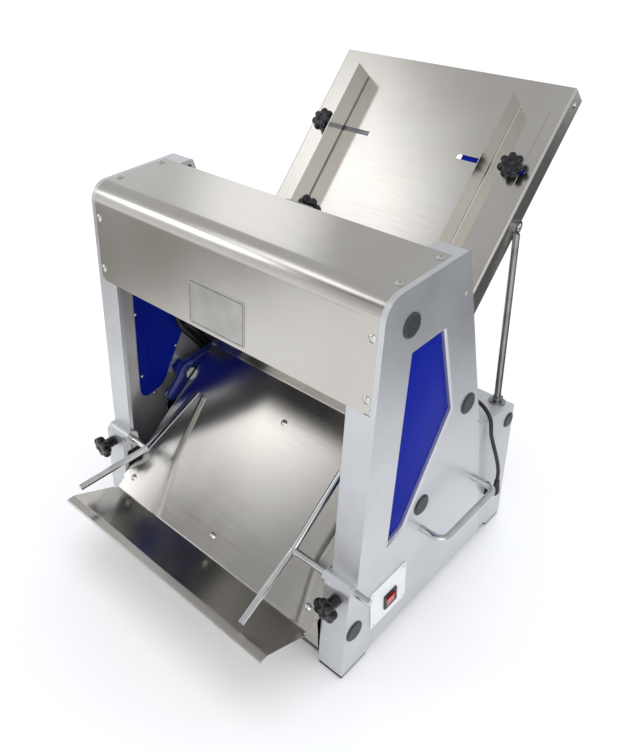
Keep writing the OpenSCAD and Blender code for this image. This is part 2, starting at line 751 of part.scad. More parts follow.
// Struts from the deck to the tray's sides
strut_r = 6;
strut_eye_r = 11;
strut_eye_t = 6;
strut_foot_r = 15;
strut_foot_h = 4;
strut_collar_r = 9;
strut_collar_h = 12;
strut_foot_x = 282;
strut_foot_u = 108;
strut_eye_x = tray_w / 2 + fit;
strut_top = tray_cross + strut_u * tray_dir + strut_v * tray_up;
module struts() {
    deck_at = [rear_y(deck_h), deck_h] + strut_foot_u * [cos(rear_lean), -sin(rear_lean)];
    color("#9b9ea2") bench() both() {
        translate([strut_foot_x, 0, 0]) on_deck() translate([0, strut_foot_u, fit]) {
            cylinder(h = strut_foot_h, r = strut_foot_r);
            cylinder(h = strut_collar_h, r = strut_collar_r);
        }
        difference() {
            union() {
                rod([strut_foot_x, deck_at[0], deck_at[1]] + [0, 0, strut_foot_h],
                    [strut_eye_x + strut_eye_t / 2, strut_top[0], strut_top[1]], strut_r);
                at(strut_top) axle(strut_eye_x, strut_eye_x + strut_eye_t, strut_eye_r);
            }
            at(strut_top) {
                axle(strut_eye_x - 2 * strut_r, strut_eye_x, tray_side);
                axle(strut_eye_x + strut_eye_t, strut_eye_x + strut_eye_t + 2 * strut_r, strut_eye_r + over);
                axle(strut_eye_x - over, strut_eye_x + strut_eye_t + over, strut_bolt_r + run);
            }
        }
    }
}

// Dome bolts of the chute and the struts, and rivets near the tray's upper end
strut_nut_t = 5;
strut_nut_r = 7;
rivet_head_h = 2;
rivet_head_r = 5;
module sheet_bolts() {
    eye_out = strut_eye_x + strut_eye_t + fit;
    nut_x = tray_w / 2 - sheet_t - fit;
    color("#d4d4d2") bench() {
        chute_bolt_places() translate([0, 0, fit]) dome_screw(bolt_head_r, bolt_head_h, bolt_r, bolt_len);
        on_tray() both() {
            at([strut_u, strut_v]) {
                translate([eye_out, 0, 0]) rotate([0, 90, 0])
                    dome_screw(bolt_head_r, bolt_head_h, strut_bolt_r, eye_out - nut_x + strut_nut_t);
                hex(nut_x - strut_nut_t, nut_x, strut_nut_r);
            }
            at([rivet_u, rivet_v]) translate([tray_w / 2 + fit, 0, 0]) rotate([0, 90, 0])
                dome_screw(rivet_head_r, rivet_head_h, rivet_r, sheet_t + rivet_head_h);
        }
    }
}

// Outfeed guides: a bent rod on a cross rod that slides in the casting's boss
guide_upper = 146;
guide_lower = 141;
guide_bend = 18.7;
guide_flare = 15;
guide_bead = 0.6;
guide_right_rise = 34.6;
guide_left_rise = 22.3;
guide_right_in = 179;
guide_right_out = 338;
guide_left_in = 206;
guide_left_out = 318;
module guide_rod(x_in, x_out, rise) {
    r = guide_d / 2;
    bend = [x_in, guide_y, guide_h];
    fall = rise - guide_bend;
    rod(bend, bend + guide_upper * [0, cos(rise), sin(rise)], r);
    rod(bend, bend + [guide_flare, -guide_lower * cos(fall), -guide_lower * sin(fall)], r);
    translate(bend) sphere(r + guide_bead);
    at([guide_y, guide_h]) axle(x_in, x_out, r);
}
module guide_rod_left() {
    color("#c3c6c8") bench() mirror([1, 0, 0]) guide_rod(guide_left_in, guide_left_out, guide_left_rise);
}
module guide_rod_right() {
    color("#c3c6c8") bench() guide_rod(guide_right_in, guide_right_out, guide_right_rise);
}
guide_neck_h = 17;
guide_stud_len = 32;
module guide_knob() {
    translate([clamp_x, leg_y(clamp_h) - fit - tan(front_lean) * knob_neck_share * knob_d, clamp_h])
        rotate([90, 0, 0]) star_knob(guide_neck_h, guide_stud_len);
}
module guide_knob_left() { color("#17181a") bench() mirror([1, 0, 0]) guide_knob(); }
module guide_knob_right() { color("#17181a") bench() guide_knob(); }

// Carry handles: bent rod with a nut inside the wall at each end
handle_bend_r = 16;
handle_nut_t = 8;
handle_nut_r = 10;
module carry_handle() {
    r = handle_d / 2;
    bar_x = half_w + handle_reach;
    turn_x = bar_x - handle_bend_r;
    translate([0, 0, handle_h]) {
        for (y = [handle_front_y, handle_rear_y]) translate([0, y, 0]) {
            axle(wall_x - handle_nut_t - over, turn_x, r);
            hex(wall_x - fit - handle_nut_t, wall_x - fit, handle_nut_r);
        }
        translate([turn_x, handle_front_y + handle_bend_r, 0]) rotate([0, 0, -90])
            rotate_extrude(angle = 90) translate([handle_bend_r, 0]) circle(r);
        translate([turn_x, handle_rear_y - handle_bend_r, 0])
            rotate_extrude(angle = 90) translate([handle_bend_r, 0]) circle(r);
        translate([bar_x, handle_front_y + handle_bend_r, 0]) rotate([-90, 0, 0])
            cylinder(h = handle_rear_y - handle_front_y - 2 * handle_bend_r, r = r);
    }
}
module carry_handle_left() { color("#c9cbcc") bench() mirror([1, 0, 0]) carry_handle(); }
module carry_handle_right() { color("#c9cbcc") bench() carry_handle(); }

// Mains switch on the right casting: plate, bezel with its body, and the rocker
switch_plate_t = 2.5;
switch_plate_mid = [118, 101];
switch_plate_size = [92, 86];
switch_plate_r = 4;
bezel_size = 33;
bezel_t = 2.5;
bezel_depth = 24;
bezel_r = 3;
well_size = [21, 23];
well_d = 8;
rocker_size = [20, 21];
rocker_in = 2.5;
rocker_tip = 4.5;
rocker_waist = 2.2;
rocker_back = 4;
rocker_foot = 8;
rocker_tilt = 8;
switch_face_x = half_w + fit + switch_plate_t;
bezel_face_x = switch_face_x + fit + bezel_t;
function box_outline(size) = [-size / 2, [size[0], -size[1]] / 2, size / 2, [-size[0], size[1]] / 2];
module switch_plate() {
    r = switch_plate_r;
    color("#eceef0") bench() difference() {
        at(switch_plate_mid) across(half_w + fit, switch_face_x)
            polygon(rounded(box_outline(switch_plate_size), [r, r, r, r]));
        at(switch_mid) across(half_w - over, switch_face_x + over) square(switch_size + fit, center = true);
    }
}
module switch_bezel() {
    r = bezel_r;
    color("#151617") bench() at(switch_mid) difference() {
        union() {
            across(switch_face_x + fit, bezel_face_x)
                polygon(rounded(box_outline([bezel_size, bezel_size]), [r, r, r, r]));
            across(bezel_face_x - bezel_depth, bezel_face_x - over) square(switch_size - fit, center = true);
        }
        across(bezel_face_x - well_d, bezel_face_x + over) square(well_size, center = true);
    }
}
module rocker_switch() {
    half = rocker_size[1] / 2;
    color("#c0181c") bench() translate([bezel_face_x - rocker_in, switch_mid[0], switch_mid[1]])
        rotate([0, rocker_tilt, 0]) along(-rocker_size[0] / 2, rocker_size[0] / 2)
            polygon([[-rocker_back, -rocker_foot], [rocker_tip, -half], [rocker_waist, 0], [rocker_tip, half],
                [-rocker_back, rocker_foot]]);
}

// Push-in hole plugs: domed cap with a hollow stem
cap_t = 3;
cap_edge = 1.2;
cap_shoulder = 3;
cap_stem = 6;
cap_stem_wall = 1.5;
module hole_plug(r, bore) {
    stem = bore - fit;
    rotate([0, 90, 0]) rotate_extrude() polygon([[stem - cap_stem_wall, -cap_stem], [stem, -cap_stem],
        [stem, 0], [r, 0], [r, cap_edge], [r - cap_shoulder, cap_t - fit], [0, cap_t], [0, cap_edge],
        [stem - cap_stem_wall, cap_edge]]);
}
module plug_caps() {
    color("#2a2c2f") bench() both() {
        for (p = [pivot_low, pivot_top, tie_rear, tie_front]) at(p)
            translate([half_w + fit, 0, 0]) hole_plug(plug_d / 2, plug_bore_r);
        at(house_plug) translate([house_x + fit, 0, 0]) hole_plug(house_plug_r, house_plug_bore_r);
    }
}
foot_edge = 1;
module rubber_feet() {
    color("#1b1b1c") bench() both() {
        translate([rim_x + foot_edge, leg_y(foot_t) + foot_edge, 0])
            cube([casting_d - 2 * foot_edge, front_foot_len - leg_y(foot_t) - 2 * foot_edge, foot_t - fit]);
        translate([house_x - house_foot_w + foot_edge, rear_foot_y + foot_edge, 0])
            cube([house_foot_w - 2 * foot_edge, rear_foot_len - 2 * foot_edge, foot_t - fit]);
    }
}

// Tie bars between the castings, and the bolts of the bars and rocker pivots
tie_thread = 30;
tie_bolt_grip = 25;
tie_head_r = 8;
tie_head_h = 8;
module tie_bars() {
    end = boss_x - fit;
    color("#8e9196") bench() for (p = [tie_rear, tie_front]) at(p) difference() {
        axle(-end, end, tie_r);
        both() axle(end - tie_thread, end + over, tie_bolt_r + run);
    }
}
pivot_head_r = 13;
pivot_head_h = 6;
pivot_nut_h = 8;
pivot_nut_r = 13;
module frame_bolts() {
    head_x = rocker_a_x0 - fit;
    color("#c8cacc") bench() both() {
        for (p = [tie_rear, tie_front]) at(p) {
            axle(seat_x + fit, seat_x + fit + tie_head_h, tie_head_r);
            axle(boss_x - tie_bolt_grip, seat_x + over, tie_bolt_r);
        }
        for (p = [pivot_low, pivot_top]) at(p) {
            hex(head_x - pivot_head_h, head_x, pivot_head_r);
            axle(head_x - over, seat_x + fit + pivot_nut_h, pivot_r);
            hex(seat_x + fit, seat_x + fit + pivot_nut_h, pivot_nut_r);
        }
    }
}
module pivot_spacers() {
    color("#a7abb0") bench() both() for (p = [pivot_low, pivot_top]) at(p) difference() {
        hex(boss_x - spacer_len, boss_x - fit, spacer_r);
        axle(boss_x - spacer_len - over, boss_x + over, pivot_r + run);
    }
}

// Blade frames: two rails and two grooved beams; the blades hang on pins in the grooves
beam_h = 24;
groove_gap = 1.5;
groove_floor = 6;
blade_pin_r = 2.5;
blade_pin_in = 7;
eye_pin_r = 6;
eye_pin_out = 0.5;
module blade_frame(arm, eye_x1) {
    groove_w = blade_w + groove_gap;
    in_mech() translate([0, arm, 0]) {
        difference() {
            union() {
                both() translate([rail_x0, -rail_d / 2, -beam_h / 2])
                    cube([rail_w, rail_d, frame_len + beam_h]);
                for (z = [0, frame_len]) translate([-rail_x1, -beam_d / 2, z - beam_h / 2])
                    cube([2 * rail_x1, beam_d, beam_h]);
            }
            translate([-rail_x0, -groove_w / 2, groove_floor - beam_h / 2])
                cube([2 * rail_x0, groove_w, frame_len + beam_h - 2 * groove_floor]);
            for (z = [0, frame_len]) translate([0, 0, z])
                axle(-rail_x0 - blade_pin_in - fit, rail_x0 + blade_pin_in + fit, blade_pin_r + run);
        }
        both() for (z = [0, frame_len])
            translate([0, 0, z]) axle(rail_x1 - over, eye_x1 + eye_pin_out, eye_pin_r);
    }
}
module blade_frame_a() { color("#8d9094") bench() blade_frame(arm_a, rocker_a_x1); }
module blade_frame_b() { color("#7f8286") bench() blade_frame(arm_b, rocker_b_x1); }

// Blades: thin strips with a waved rear edge
blade_tail = 5;
wave_pitch = 24;
wave_d = 2;
wave_flat_share = 0.3;
wave_margin = 30;
module blade() {
    waves = floor((frame_len - 2 * wave_margin) / wave_pitch);
    start = (frame_len - waves * wave_pitch) / 2;
    half = blade_w / 2;
    across(-blade_t / 2, blade_t / 2) difference() {
        polygon(concat(
            [[-half, frame_len + blade_tail], [-half, -blade_tail], [half, -blade_tail], [half, start]],
            [for (i = [0:waves - 1]) each [
                [half - wave_d, start + (i + wave_flat_share) * wave_pitch],
                [half - wave_d, start + (i + 1 - wave_flat_share) * wave_pitch],
                [half, start + (i + 1) * wave_pitch]]],
            [[half, frame_len + blade_tail]]));
        for (z = [0, frame_len]) translate([0, z]) circle(blade_pin_r + run);
    }
}
module blade_set(arm, set) {
    in_mech() translate([0, arm, 0]) for (k = [0:blade_count - 1]) translate([blade_x(k, set), 0, 0]) blade();
}
module blades_a() { color("#d2d4d5") bench() blade_set(arm_a, 0); }
module blades_b() { color("#cbcdce") bench() blade_set(arm_b, 1); }

// Pins the blades hang on, with collars that keep them apart
collar_r = 4.5;
collar_gap = 0.15;
module blade_pin_pair(arm, set) {
    side = blade_t / 2 + collar_gap;
    in_mech() translate([0, arm, 0]) for (z = [0, frame_len]) translate([0, 0, z]) {
        axle(-rail_x0 - blade_pin_in, rail_x0 + blade_pin_in, blade_pin_r);
        for (k = [0:blade_count - 2])
            axle(blade_x(k, set) + side, blade_x(k + 1, set) - side, collar_r);
        axle(-rail_x0 + fit, blade_x(0, set) - side, collar_r);
        axle(blade_x(blade_count - 1, set) + side, rail_x0 - fit, collar_r);
    }
}
module blade_pins_a() { color("#6f7276") bench() blade_pin_pair(arm_a, 0); }
module blade_pins_b() { color("#6f7276") bench() blade_pin_pair(arm_b, 1); }

// Rocker arms; the lower ones carry the lever that the connecting rod pulls
hub_r = 22;
eye_r = 13;
eye_slot_in = 0.3;
eye_slot_out = 2.2;
eye_slot_r = 6.5;
lever_angle = 206;
lever_r = 11;
lever_pin_r = 5;
lever_a = 57;
lever_b = lever_a * arm_b / arm_a;
lever_dir = [cos(lever_angle), sin(lever_angle)];
module rocker(arm, lever) {
    difference() {
        union() {
            link([0, 0], [arm + eye_slot_out / 2, 0], hub_r, eye_r);
            if (lever > 0) link([0, 0], lever * lever_dir, hub_r, lever_r);
        }
        circle(pivot_r + run);
        link([arm - eye_slot_in, 0], [arm + eye_slot_out, 0], eye_slot_r, eye_slot_r);
    }
}
module upper_rockers(arm, x0, x1) {
    in_mech() translate([0, 0, frame_len]) both() across(x0, x1) rocker(arm, 0);
}
module lower_rockers(arm, x0, x1, lever, pin_x1) {
    in_mech() {
        across(x0, x1) rocker(arm, lever);
        at(lever * lever_dir) axle(x1 - over, pin_x1, lever_pin_r);
        mirror([1, 0, 0]) across(x0, x1) rocker(arm, 0);
    }
}

// Crankshaft across the base, with a disc at each end and a connecting rod up to each lever
rod_gap = 1.5;
rod_t = 7;
rod_a_x0 = rocker_a_x1 + rod_gap;
rod_b_x0 = rocker_b_x1 + rod_gap;
rod_low_r = 16;
crank_pin_r = 8;
crank_gap = 0.3;
disc_gap = 1;
disc_t = 12;
throw = lever_a * half_stroke / arm_a;
crank_h = 105;
crank_y = mech(lever_a * lever_dir)[0] + throw;
crank_shaft_r = 10;
module rockers_lower_a() {
    color("#2a3478") bench() mirror([1, 0, 0])
        lower_rockers(arm_a, rocker_a_x0, rocker_a_x1, lever_a, rod_a_x0 + rod_t);
}
module rockers_lower_b() {
    color("#2a3478") bench() lower_rockers(arm_b, rocker_b_x0, rocker_b_x1, lever_b, rod_b_x0 + rod_t);
}
module rockers_upper_a() { color("#2a3478") bench() upper_rockers(arm_a, rocker_a_x0, rocker_a_x1); }
module rockers_upper_b() { color("#2a3478") bench() upper_rockers(arm_b, rocker_b_x0, rocker_b_x1); }
module crankshaft() {
    left_x = rod_a_x0 - disc_gap;
    right_x = rod_b_x0 - disc_gap;
    color("#8b8e92") bench() at([crank_y, crank_h]) {
        axle(-left_x, right_x, crank_shaft_r);
        axle(-left_x, -left_x + disc_t, throw + rod_low_r);
        axle(right_x - disc_t, right_x, throw + rod_low_r);
    }
}
module con_rod(top, low, x0) {
    difference() {
        across(x0, x0 + rod_t) link(top, low, lever_r, rod_low_r);
        at(top) axle(x0 - over, x0 + rod_t + over, lever_pin_r + run);
    }
    at(low) axle(x0 - disc_gap + crank_gap, x0 + over, crank_pin_r);
}
module con_rod_a() {
    color("#6d7073") bench() mirror([1, 0, 0])
        con_rod(mech(lever_a * lever_dir), [crank_y - throw, crank_h], rod_a_x0);
}
module con_rod_b() {
    color("#6d7073") bench() con_rod(mech(lever_b * lever_dir), [crank_y + throw, crank_h], rod_b_x0);
}
bearing_x = 203;
bearing_t = 24;
bearing_w = 50;
bearing_top = 24;
module crank_bearings() {
    color("#70747a") bench() both() difference() {
        translate([bearing_x, crank_y - bearing_w / 2, plate_top + fit])
            cube([bearing_t, bearing_w, crank_h + bearing_top - plate_top - fit]);
        at([crank_y, crank_h]) axle(bearing_x - over, bearing_x + bearing_t + over, crank_shaft_r + run);
    }
}

// Belt drive from the motor
pulley_x = 139;
pulley_w = 22;
flange_w = 4;
belt_side = 1;
big_r = 64;
small_r = 30;
groove_d = 12;
belt_lift = 0.4;
belt_t = 8;
motor_in = 60;
motor_at = [base_len - motor_in, crank_h];
motor_r = 50;
motor_x0 = -70;
motor_x1 = 125;
motor_bell_r = 44;
motor_bell = 25;
motor_foot_y = 40;
motor_foot_x0 = -35;
motor_foot_x1 = 90;
motor_foot_h = 42;
motor_shaft_r = 7;
motor_shaft_in = 20;
// Outline of a band drawn tight round two pulleys that lie one behind the other
function arc(mid, r, from, to) = let (steps = ceil((to - from) / arc_step))
    [for (i = [0:steps]) let (a = from + (to - from) * i / steps) mid + r * [cos(a), sin(a)]];
function loop(a, b, ra, rb) = let (flank = acos((ra - rb) / norm(b - a)))
    concat(arc(a, ra, flank, 360 - flank), arc(b, rb, -flank, flank));
module pulley(r) {
    axle(pulley_x, pulley_x + flange_w, r);
    axle(pulley_x, pulley_x + pulley_w, r - groove_d);
    axle(pulley_x + pulley_w - flange_w, pulley_x + pulley_w, r);
}
module crank_pulley() {
    color("#585b60") bench() at([crank_y, crank_h]) difference() {
        pulley(big_r);
        axle(pulley_x - over, pulley_x + pulley_w + over, crank_shaft_r + run);
    }
}
module motor() {
    color("#4d5f73") bench() difference() {
        union() {
            at(motor_at) {
                axle(motor_x0 + motor_bell, motor_x1 - motor_bell, motor_r);
                axle(motor_x0, motor_x1, motor_bell_r);
            }
            translate([motor_foot_x0, motor_at[0] - motor_foot_y, plate_top + fit])
                cube([motor_foot_x1 - motor_foot_x0, 2 * motor_foot_y, motor_foot_h]);
        }
        at(motor_at) axle(motor_x1 - motor_shaft_in - over, motor_x1 + over, motor_shaft_r + run);
    }
}
module motor_pulley() {
    color("#585b60") bench() at(motor_at) {
        pulley(small_r);
        axle(motor_x1 - motor_shaft_in, pulley_x + over, motor_shaft_r);
    }
}
module drive_belt() {
    crank_at = [crank_y, crank_h];
    low = belt_lift - groove_d;
    x0 = pulley_x + flange_w + belt_side;
    x1 = pulley_x + pulley_w - flange_w - belt_side;
    color("#222224") bench() across(x0, x1) difference() {
        polygon(loop(crank_at, motor_at, big_r + low + belt_t, small_r + low + belt_t));
        polygon(loop(crank_at, motor_at, big_r + low, small_r + low));
    }
}

// Wiring in the left casting: two sleeved cables up to a terminal box
loom_x = -287;
loom_r = 6.5;
loom_core_r = 6;
loom_lap = 2;
loom_y = 290;
loom_low = 130;
loom_small_r = 100;
loom_step = 14;
loom_tail = 142.2;
loom_slope_shares = [4, 3];
box_drop = 144;
box_h = 50;
box_front = 15;
box_w = 43;
box_d = 26;
box_z0 = frame_h - box_drop;
loom_turn = atan2(loom_slope_shares[1], loom_slope_shares[0]);
loom_span = (box_z0 - loom_tail - loom_low) / sin(loom_turn);
loom_big_r = loom_span - loom_small_r;
loom_mid = [loom_y - loom_big_r, loom_low];
loom_joint = loom_mid + loom_span * [cos(loom_turn), sin(loom_turn)];
box_y0 = loom_joint[0] - loom_small_r - box_front;
module loom_arc(mid, r, start, turn, tube) {
    at(mid) rotate([90, 0, 90]) rotate(start) rotate_extrude(angle = turn) translate([r, 0]) circle(tube);
}
// The sleeve ends where the bend turns back, and the bare cable runs on from inside it
module loom_cable(out) {
    foot = arch_h + casting_rim + fit;
    loom_arc(loom_mid, loom_big_r + out, 0, loom_turn, loom_r);
    translate([0, loom_y + out, foot]) cylinder(h = loom_low - foot, r = loom_r);
    loom_arc(loom_joint, loom_small_r - out, 180, loom_turn + loom_lap, loom_core_r);
    translate([0, loom_joint[0] - loom_small_r + out, loom_joint[1]])
        cylinder(h = box_z0 - fit - loom_joint[1], r = loom_core_r);
}
module wiring_loom() {
    color("#161618") bench() translate([loom_x, 0, 0]) for (out = [0, loom_step]) loom_cable(out);
}
module terminal_box() {
    color("#3a3d41") bench() translate([-wall_x + 2 * fit + panel_t, box_y0, box_z0])
        cube([box_d, box_w, box_h]);
}

// Mains cord: gland on the housing's side, lead up and over the deck, coil, tie and plug
gland_nut_r = 11;
gland_nut_t = 8;
gland_bend_r = 10;
gland_r = 7;
gland_tip_r = 4.5;
gland_taper = 26;
gland_exit = [house_x + fit + gland_nut_t + gland_bend_r, gland_y, gland_h + gland_bend_r + gland_taper];
module cable_gland() {
    inner = house_x - sheet_t - fit;
    nut = house_x + fit;
    color("#1c1d1f") bench() {
        at([gland_y, gland_h]) {
            hex(nut, nut + gland_nut_t, gland_nut_r);
            axle(inner - gland_nut_t, nut + over, gland_thread_r);
            hex(inner - gland_nut_t, inner, gland_nut_r);
        }
        translate([nut + gland_nut_t, gland_y, gland_h + gland_bend_r]) {
            rotate([90, 0, 0]) rotate(-90)
                rotate_extrude(angle = 90) translate([gland_bend_r, 0]) circle(gland_r);
            translate([gland_bend_r, 0, 0]) cylinder(h = gland_taper, r1 = gland_r, r2 = gland_tip_r);
        }
    }
}
side_route = [[0, 0, fit], [0, 0, 7], [0.5, -2, 23], [0, -7, 43], [-2, -13, 65], [-5, -19, 87]];
deck_route = [[9.5, 49, -40], [8, 42, -26], [7.3, 37, -12], [3.6, 34.5, 2.5], [-6.5, 35, 13.6],
    [-20, 38.5, 19.4], [-36, 47, 18.5], [-51, 57.5, 14], [-65.5, 69.5, 9], [-80, 82, 5.4],
    [-95, 93.5, 4.4], [-111, 103.5, 4.4],
    [-128, 111, 4.6], [-146, 115.5, 4.9], [-163, 117, 5.1], [-172, 117, 5.1], [-179, 117, 5.1]];
function deck_point(p) = [house_x + p[0], rear_y(deck_h) + p[1] * cos(rear_lean) + p[2] * sin(rear_lean),
    deck_h - p[1] * sin(rear_lean) + p[2] * cos(rear_lean)];

// Solid of circles of radius r swept along a path, turned to keep clear of the direction ref
module tube(path, r, sides, ref) {
    n = len(path) - 1;
    rings = [for (i = [0:n]) let (
            t = unit(path[min(i + 1, n)] - path[max(i - 1, 0)]),
            e = unit(ref - (ref * t) * t),
            f = cross(t, e))
        for (k = [0:sides - 1]) path[i] + r * (cos(360 * k / sides) * e + sin(360 * k / sides) * f)];
    polyhedron(rings, concat(
        [[for (k = [0:sides - 1]) k]],
        [for (i = [0:n - 1], k = [0:sides - 1]) let (a = i * sides, m = (k + 1) % sides) each [
            [a + k, a + sides + k, a + sides + m], [a + k, a + sides + m, a + m]]],
        [[for (k = [sides - 1:-1:0]) n * sides + k]]));
}
module power_cord() {
    color("#141415") bench() tube(concat([for (p = side_route) gland_exit + p],
        [for (p = deck_route) deck_point(p)]), cord_d / 2, 10, [0, 1, 0]);
}

// Coil of two layers: in along the lower one, up in half a turn, out along the upper one
coil_turns = 3;
coil_steps = 24;
coil_gap = 0.6;
coil_mid_share = 5.95;
coil_pitch = cord_d + coil_gap;
coil_out_r = coil_mid_share * cord_d + coil_pitch * coil_turns / 2;
coil_in_r = coil_out_r - coil_pitch * coil_turns;
coil_dip = coil_pitch / 4;
coil_start = deck_route[len(deck_route) - 1];
coil_mid = [house_x + coil_start[0] - cord_d, coil_start[1] - coil_out_r, coil_start[2]];
function coil_point(a, r, z) = coil_mid + [r * cos(a), r * sin(a), z];
coil_end = coil_point(270, coil_out_r, coil_pitch);
coil_path = concat(
    [coil_start + [house_x - fit, 0, 0]],
    [for (i = [0:coil_turns * coil_steps]) let (f = i / coil_steps)
        coil_point(90 + 360 * f, coil_out_r - coil_pitch * f, 0)],
    [for (i = [1:coil_steps / 2 - 1]) let (t = 2 * i / coil_steps)
        coil_point(90 + 180 * t, coil_in_r - coil_dip * sin(180 * t), coil_pitch * (1 - cos(180 * t)) / 2)],
    [for (i = [0:coil_turns * coil_steps]) let (f = i / coil_steps)
        coil_point(270 + 360 * f, coil_in_r + coil_pitch * f, coil_pitch)],
    [coil_end + [cord_d, 0, 0]]);
module cord_coil() {
    last = len(coil_path) - 1;
    least = min([for (i = [0:last - coil_steps / 2]) for (j = [i + coil_steps / 2:last])
        norm(coil_path[j] - coil_path[i])]) - cord_d;
    echo(coil_gap = least);
    color("#141415") bench() on_deck() tube(coil_path, cord_d / 2, 6, [0, 0, 1]);
}
tie_band_w = 8;
tie_band_t = 1;
tie_band_gap = 0.3;
tie_band_side = 0.8;
module coil_tie() {
    x0 = coil_in_r + coil_pitch / 4 - cord_d / 2 - tie_band_side;
    x1 = coil_out_r - 3 * coil_pitch / 4 + cord_d / 2 + tie_band_side;
    z0 = -cord_d / 2 - tie_band_gap;
    z1 = coil_pitch + cord_d / 2 + tie_band_gap;
    inner = [x1 - x0, z1 - z0];
    band = [tie_band_t, tie_band_t];
    color("#101011") bench() on_deck() translate(coil_mid)
        along(-tie_band_w / 2, tie_band_w / 2) translate([x0, z0]) difference() {
            translate(-band) square(inner + 2 * band);
            square(inner);
        }
}
plug_taper = 25;
plug_taper_r = 8;
plug_body = [40, 30, 20];
plug_slant = 5;
prong_len = 18;
prong_w = 6;
prong_t = 2;
prong_out = 8;
module mains_plug() {
    body_x = coil_end[0] + cord_d + fit + plug_taper;
    half = plug_body[1] / 2;
    color("#161617") bench() on_deck() translate([0, coil_end[1], coil_end[2]]) {
        axle_taper(body_x - plug_taper, body_x + over, gland_tip_r, plug_taper_r);
        translate([body_x, 0, -plug_body[2] / 2]) linear_extrude(plug_body[2]) polygon([
            [0, plug_slant - half], [plug_body[0], -half], [plug_body[0], half], [0, half - plug_slant]]);
        translate([body_x + plug_body[0] - over, 0, 0]) {
            for (y = [-prong_out, prong_out]) translate([0, y - prong_t / 2, -prong_w / 2])
                cube([prong_len + over, prong_t, prong_w]);
            translate([0, -prong_w / 2, prong_w / 2]) cube([prong_len + over, prong_w, prong_t]);
        }
    }
}
module axle_taper(x0, x1, r0, r1) {
    translate([x0, 0, 0]) rotate([0, 90, 0]) cylinder(h = x1 - x0, r1 = r0, r2 = r1);
}

side_frame_left();
side_frame_right();
window_panels();
top_cover();
cover_screws();
infeed_tray();
sheet_bolts();
struts();
fence_left();
fence_right();
fence_knob_left();
fence_knob_right();
rear_rail();
press_plate();
press_knob();
rear_panel();
base_housing();
base_plate();
front_apron();
outfeed_tray();
chute_support();
guide_rod_left();
guide_rod_right();
guide_knob_left();
guide_knob_right();
carry_handle_left();
carry_handle_right();
switch_plate();
switch_bezel();
rocker_switch();
plug_caps();
rubber_feet();
tie_bars();
frame_bolts();
pivot_spacers();
blade_frame_a();
blade_frame_b();
blades_a();
blades_b();
blade_pins_a();
blade_pins_b();
rockers_lower_a();
rockers_lower_b();
rockers_upper_a();
rockers_upper_b();
crankshaft();
crank_pulley();
crank_bearings();
con_rod_a();
con_rod_b();
motor();
motor_pulley();
drive_belt();
wiring_loom();
terminal_box();
cable_gland();
power_cord();
cord_coil();
coil_tie();
mains_plug();
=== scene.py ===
"""Bench bread slicer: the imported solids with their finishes, the small turned and moulded pieces
as numpy skins, the mains cord, and a plain pale studio."""
import json
import bpy
import numpy as np
from mathutils import Matrix


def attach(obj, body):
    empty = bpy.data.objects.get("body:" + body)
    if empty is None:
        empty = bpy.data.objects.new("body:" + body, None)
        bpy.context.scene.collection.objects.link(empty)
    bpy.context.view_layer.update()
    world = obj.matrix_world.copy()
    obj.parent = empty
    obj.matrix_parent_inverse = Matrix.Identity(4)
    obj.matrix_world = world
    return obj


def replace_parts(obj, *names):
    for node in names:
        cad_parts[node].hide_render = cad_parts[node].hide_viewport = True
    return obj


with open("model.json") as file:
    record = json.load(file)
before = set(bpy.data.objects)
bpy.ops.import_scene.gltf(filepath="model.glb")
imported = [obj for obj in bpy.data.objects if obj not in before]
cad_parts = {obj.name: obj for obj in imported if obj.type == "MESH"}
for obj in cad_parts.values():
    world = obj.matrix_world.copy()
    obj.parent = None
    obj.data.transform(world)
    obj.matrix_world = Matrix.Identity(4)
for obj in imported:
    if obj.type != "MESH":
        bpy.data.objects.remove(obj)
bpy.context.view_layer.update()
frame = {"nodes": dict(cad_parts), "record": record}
nodes = frame["nodes"]

# Bench millimetres: y = 0 at the front foot, the part's own zero lies BENCH_BACK behind it
MM = 0.001
BENCH_BACK = 293.172
X_AXIS, Y_AXIS, Z_AXIS = np.eye(3)


def lean(degrees):
    """Axes turned about x: rows are x, y = (0, cos, sin) and z = (0, -sin, cos) of the angle."""
    c, s = np.cos(np.radians(degrees)), np.sin(np.radians(degrees))
    return np.array([[1, 0, 0], [0, c, s], [0, -s, c]], float)


def aimed(z_axis, x_axis):
    """Right-handed axes with the given z and x rows; y is z cross x."""
    return np.array([x_axis, np.cross(z_axis, x_axis), z_axis], float)


def home(points):
    """Bench mm to the part's metres: moved back to the part's zero, then scaled."""
    return (np.asarray(points, float) - BENCH_BACK * Y_AXIS) * MM


def put(points, origin, axes):
    """Local mm to the part's metres: origin + x axes[0] + y axes[1] + z axes[2] on the bench."""
    return home(np.asarray(points, float) @ axes + origin)


FRONT_SET, FRONT_LEAN = 17.0, 7.0


def front_y(z):
    """The tower's front face leans back: y = 17 + z tan 7 degrees."""
    return FRONT_SET + z * np.tan(np.radians(FRONT_LEAN))


# Places and axes of the machine's main faces
TOWER_H, HALF_W = 664.0, 310.0
TRAY_AT, TRAY = np.array([0, 333.5, 424.0]), lean(45)
REAR_AT, REAR = np.array([0, 278.529, TOWER_H]), lean(12.9)
DECK_AT, DECK = np.array([0, 360.98, 304.0]), lean(-12.9)
CHUTE_AT, CHUTE = np.array([0, -17.0, 91.0]), lean(35)
FRONT = lean(-FRONT_LEAN)
FRONT_OUT = aimed(-FRONT[1], X_AXIS)
SIDE_OUT = {1: aimed(X_AXIS, Y_AXIS), -1: aimed(-X_AXIS, Y_AXIS)}
SEAT_GAP = 0.1


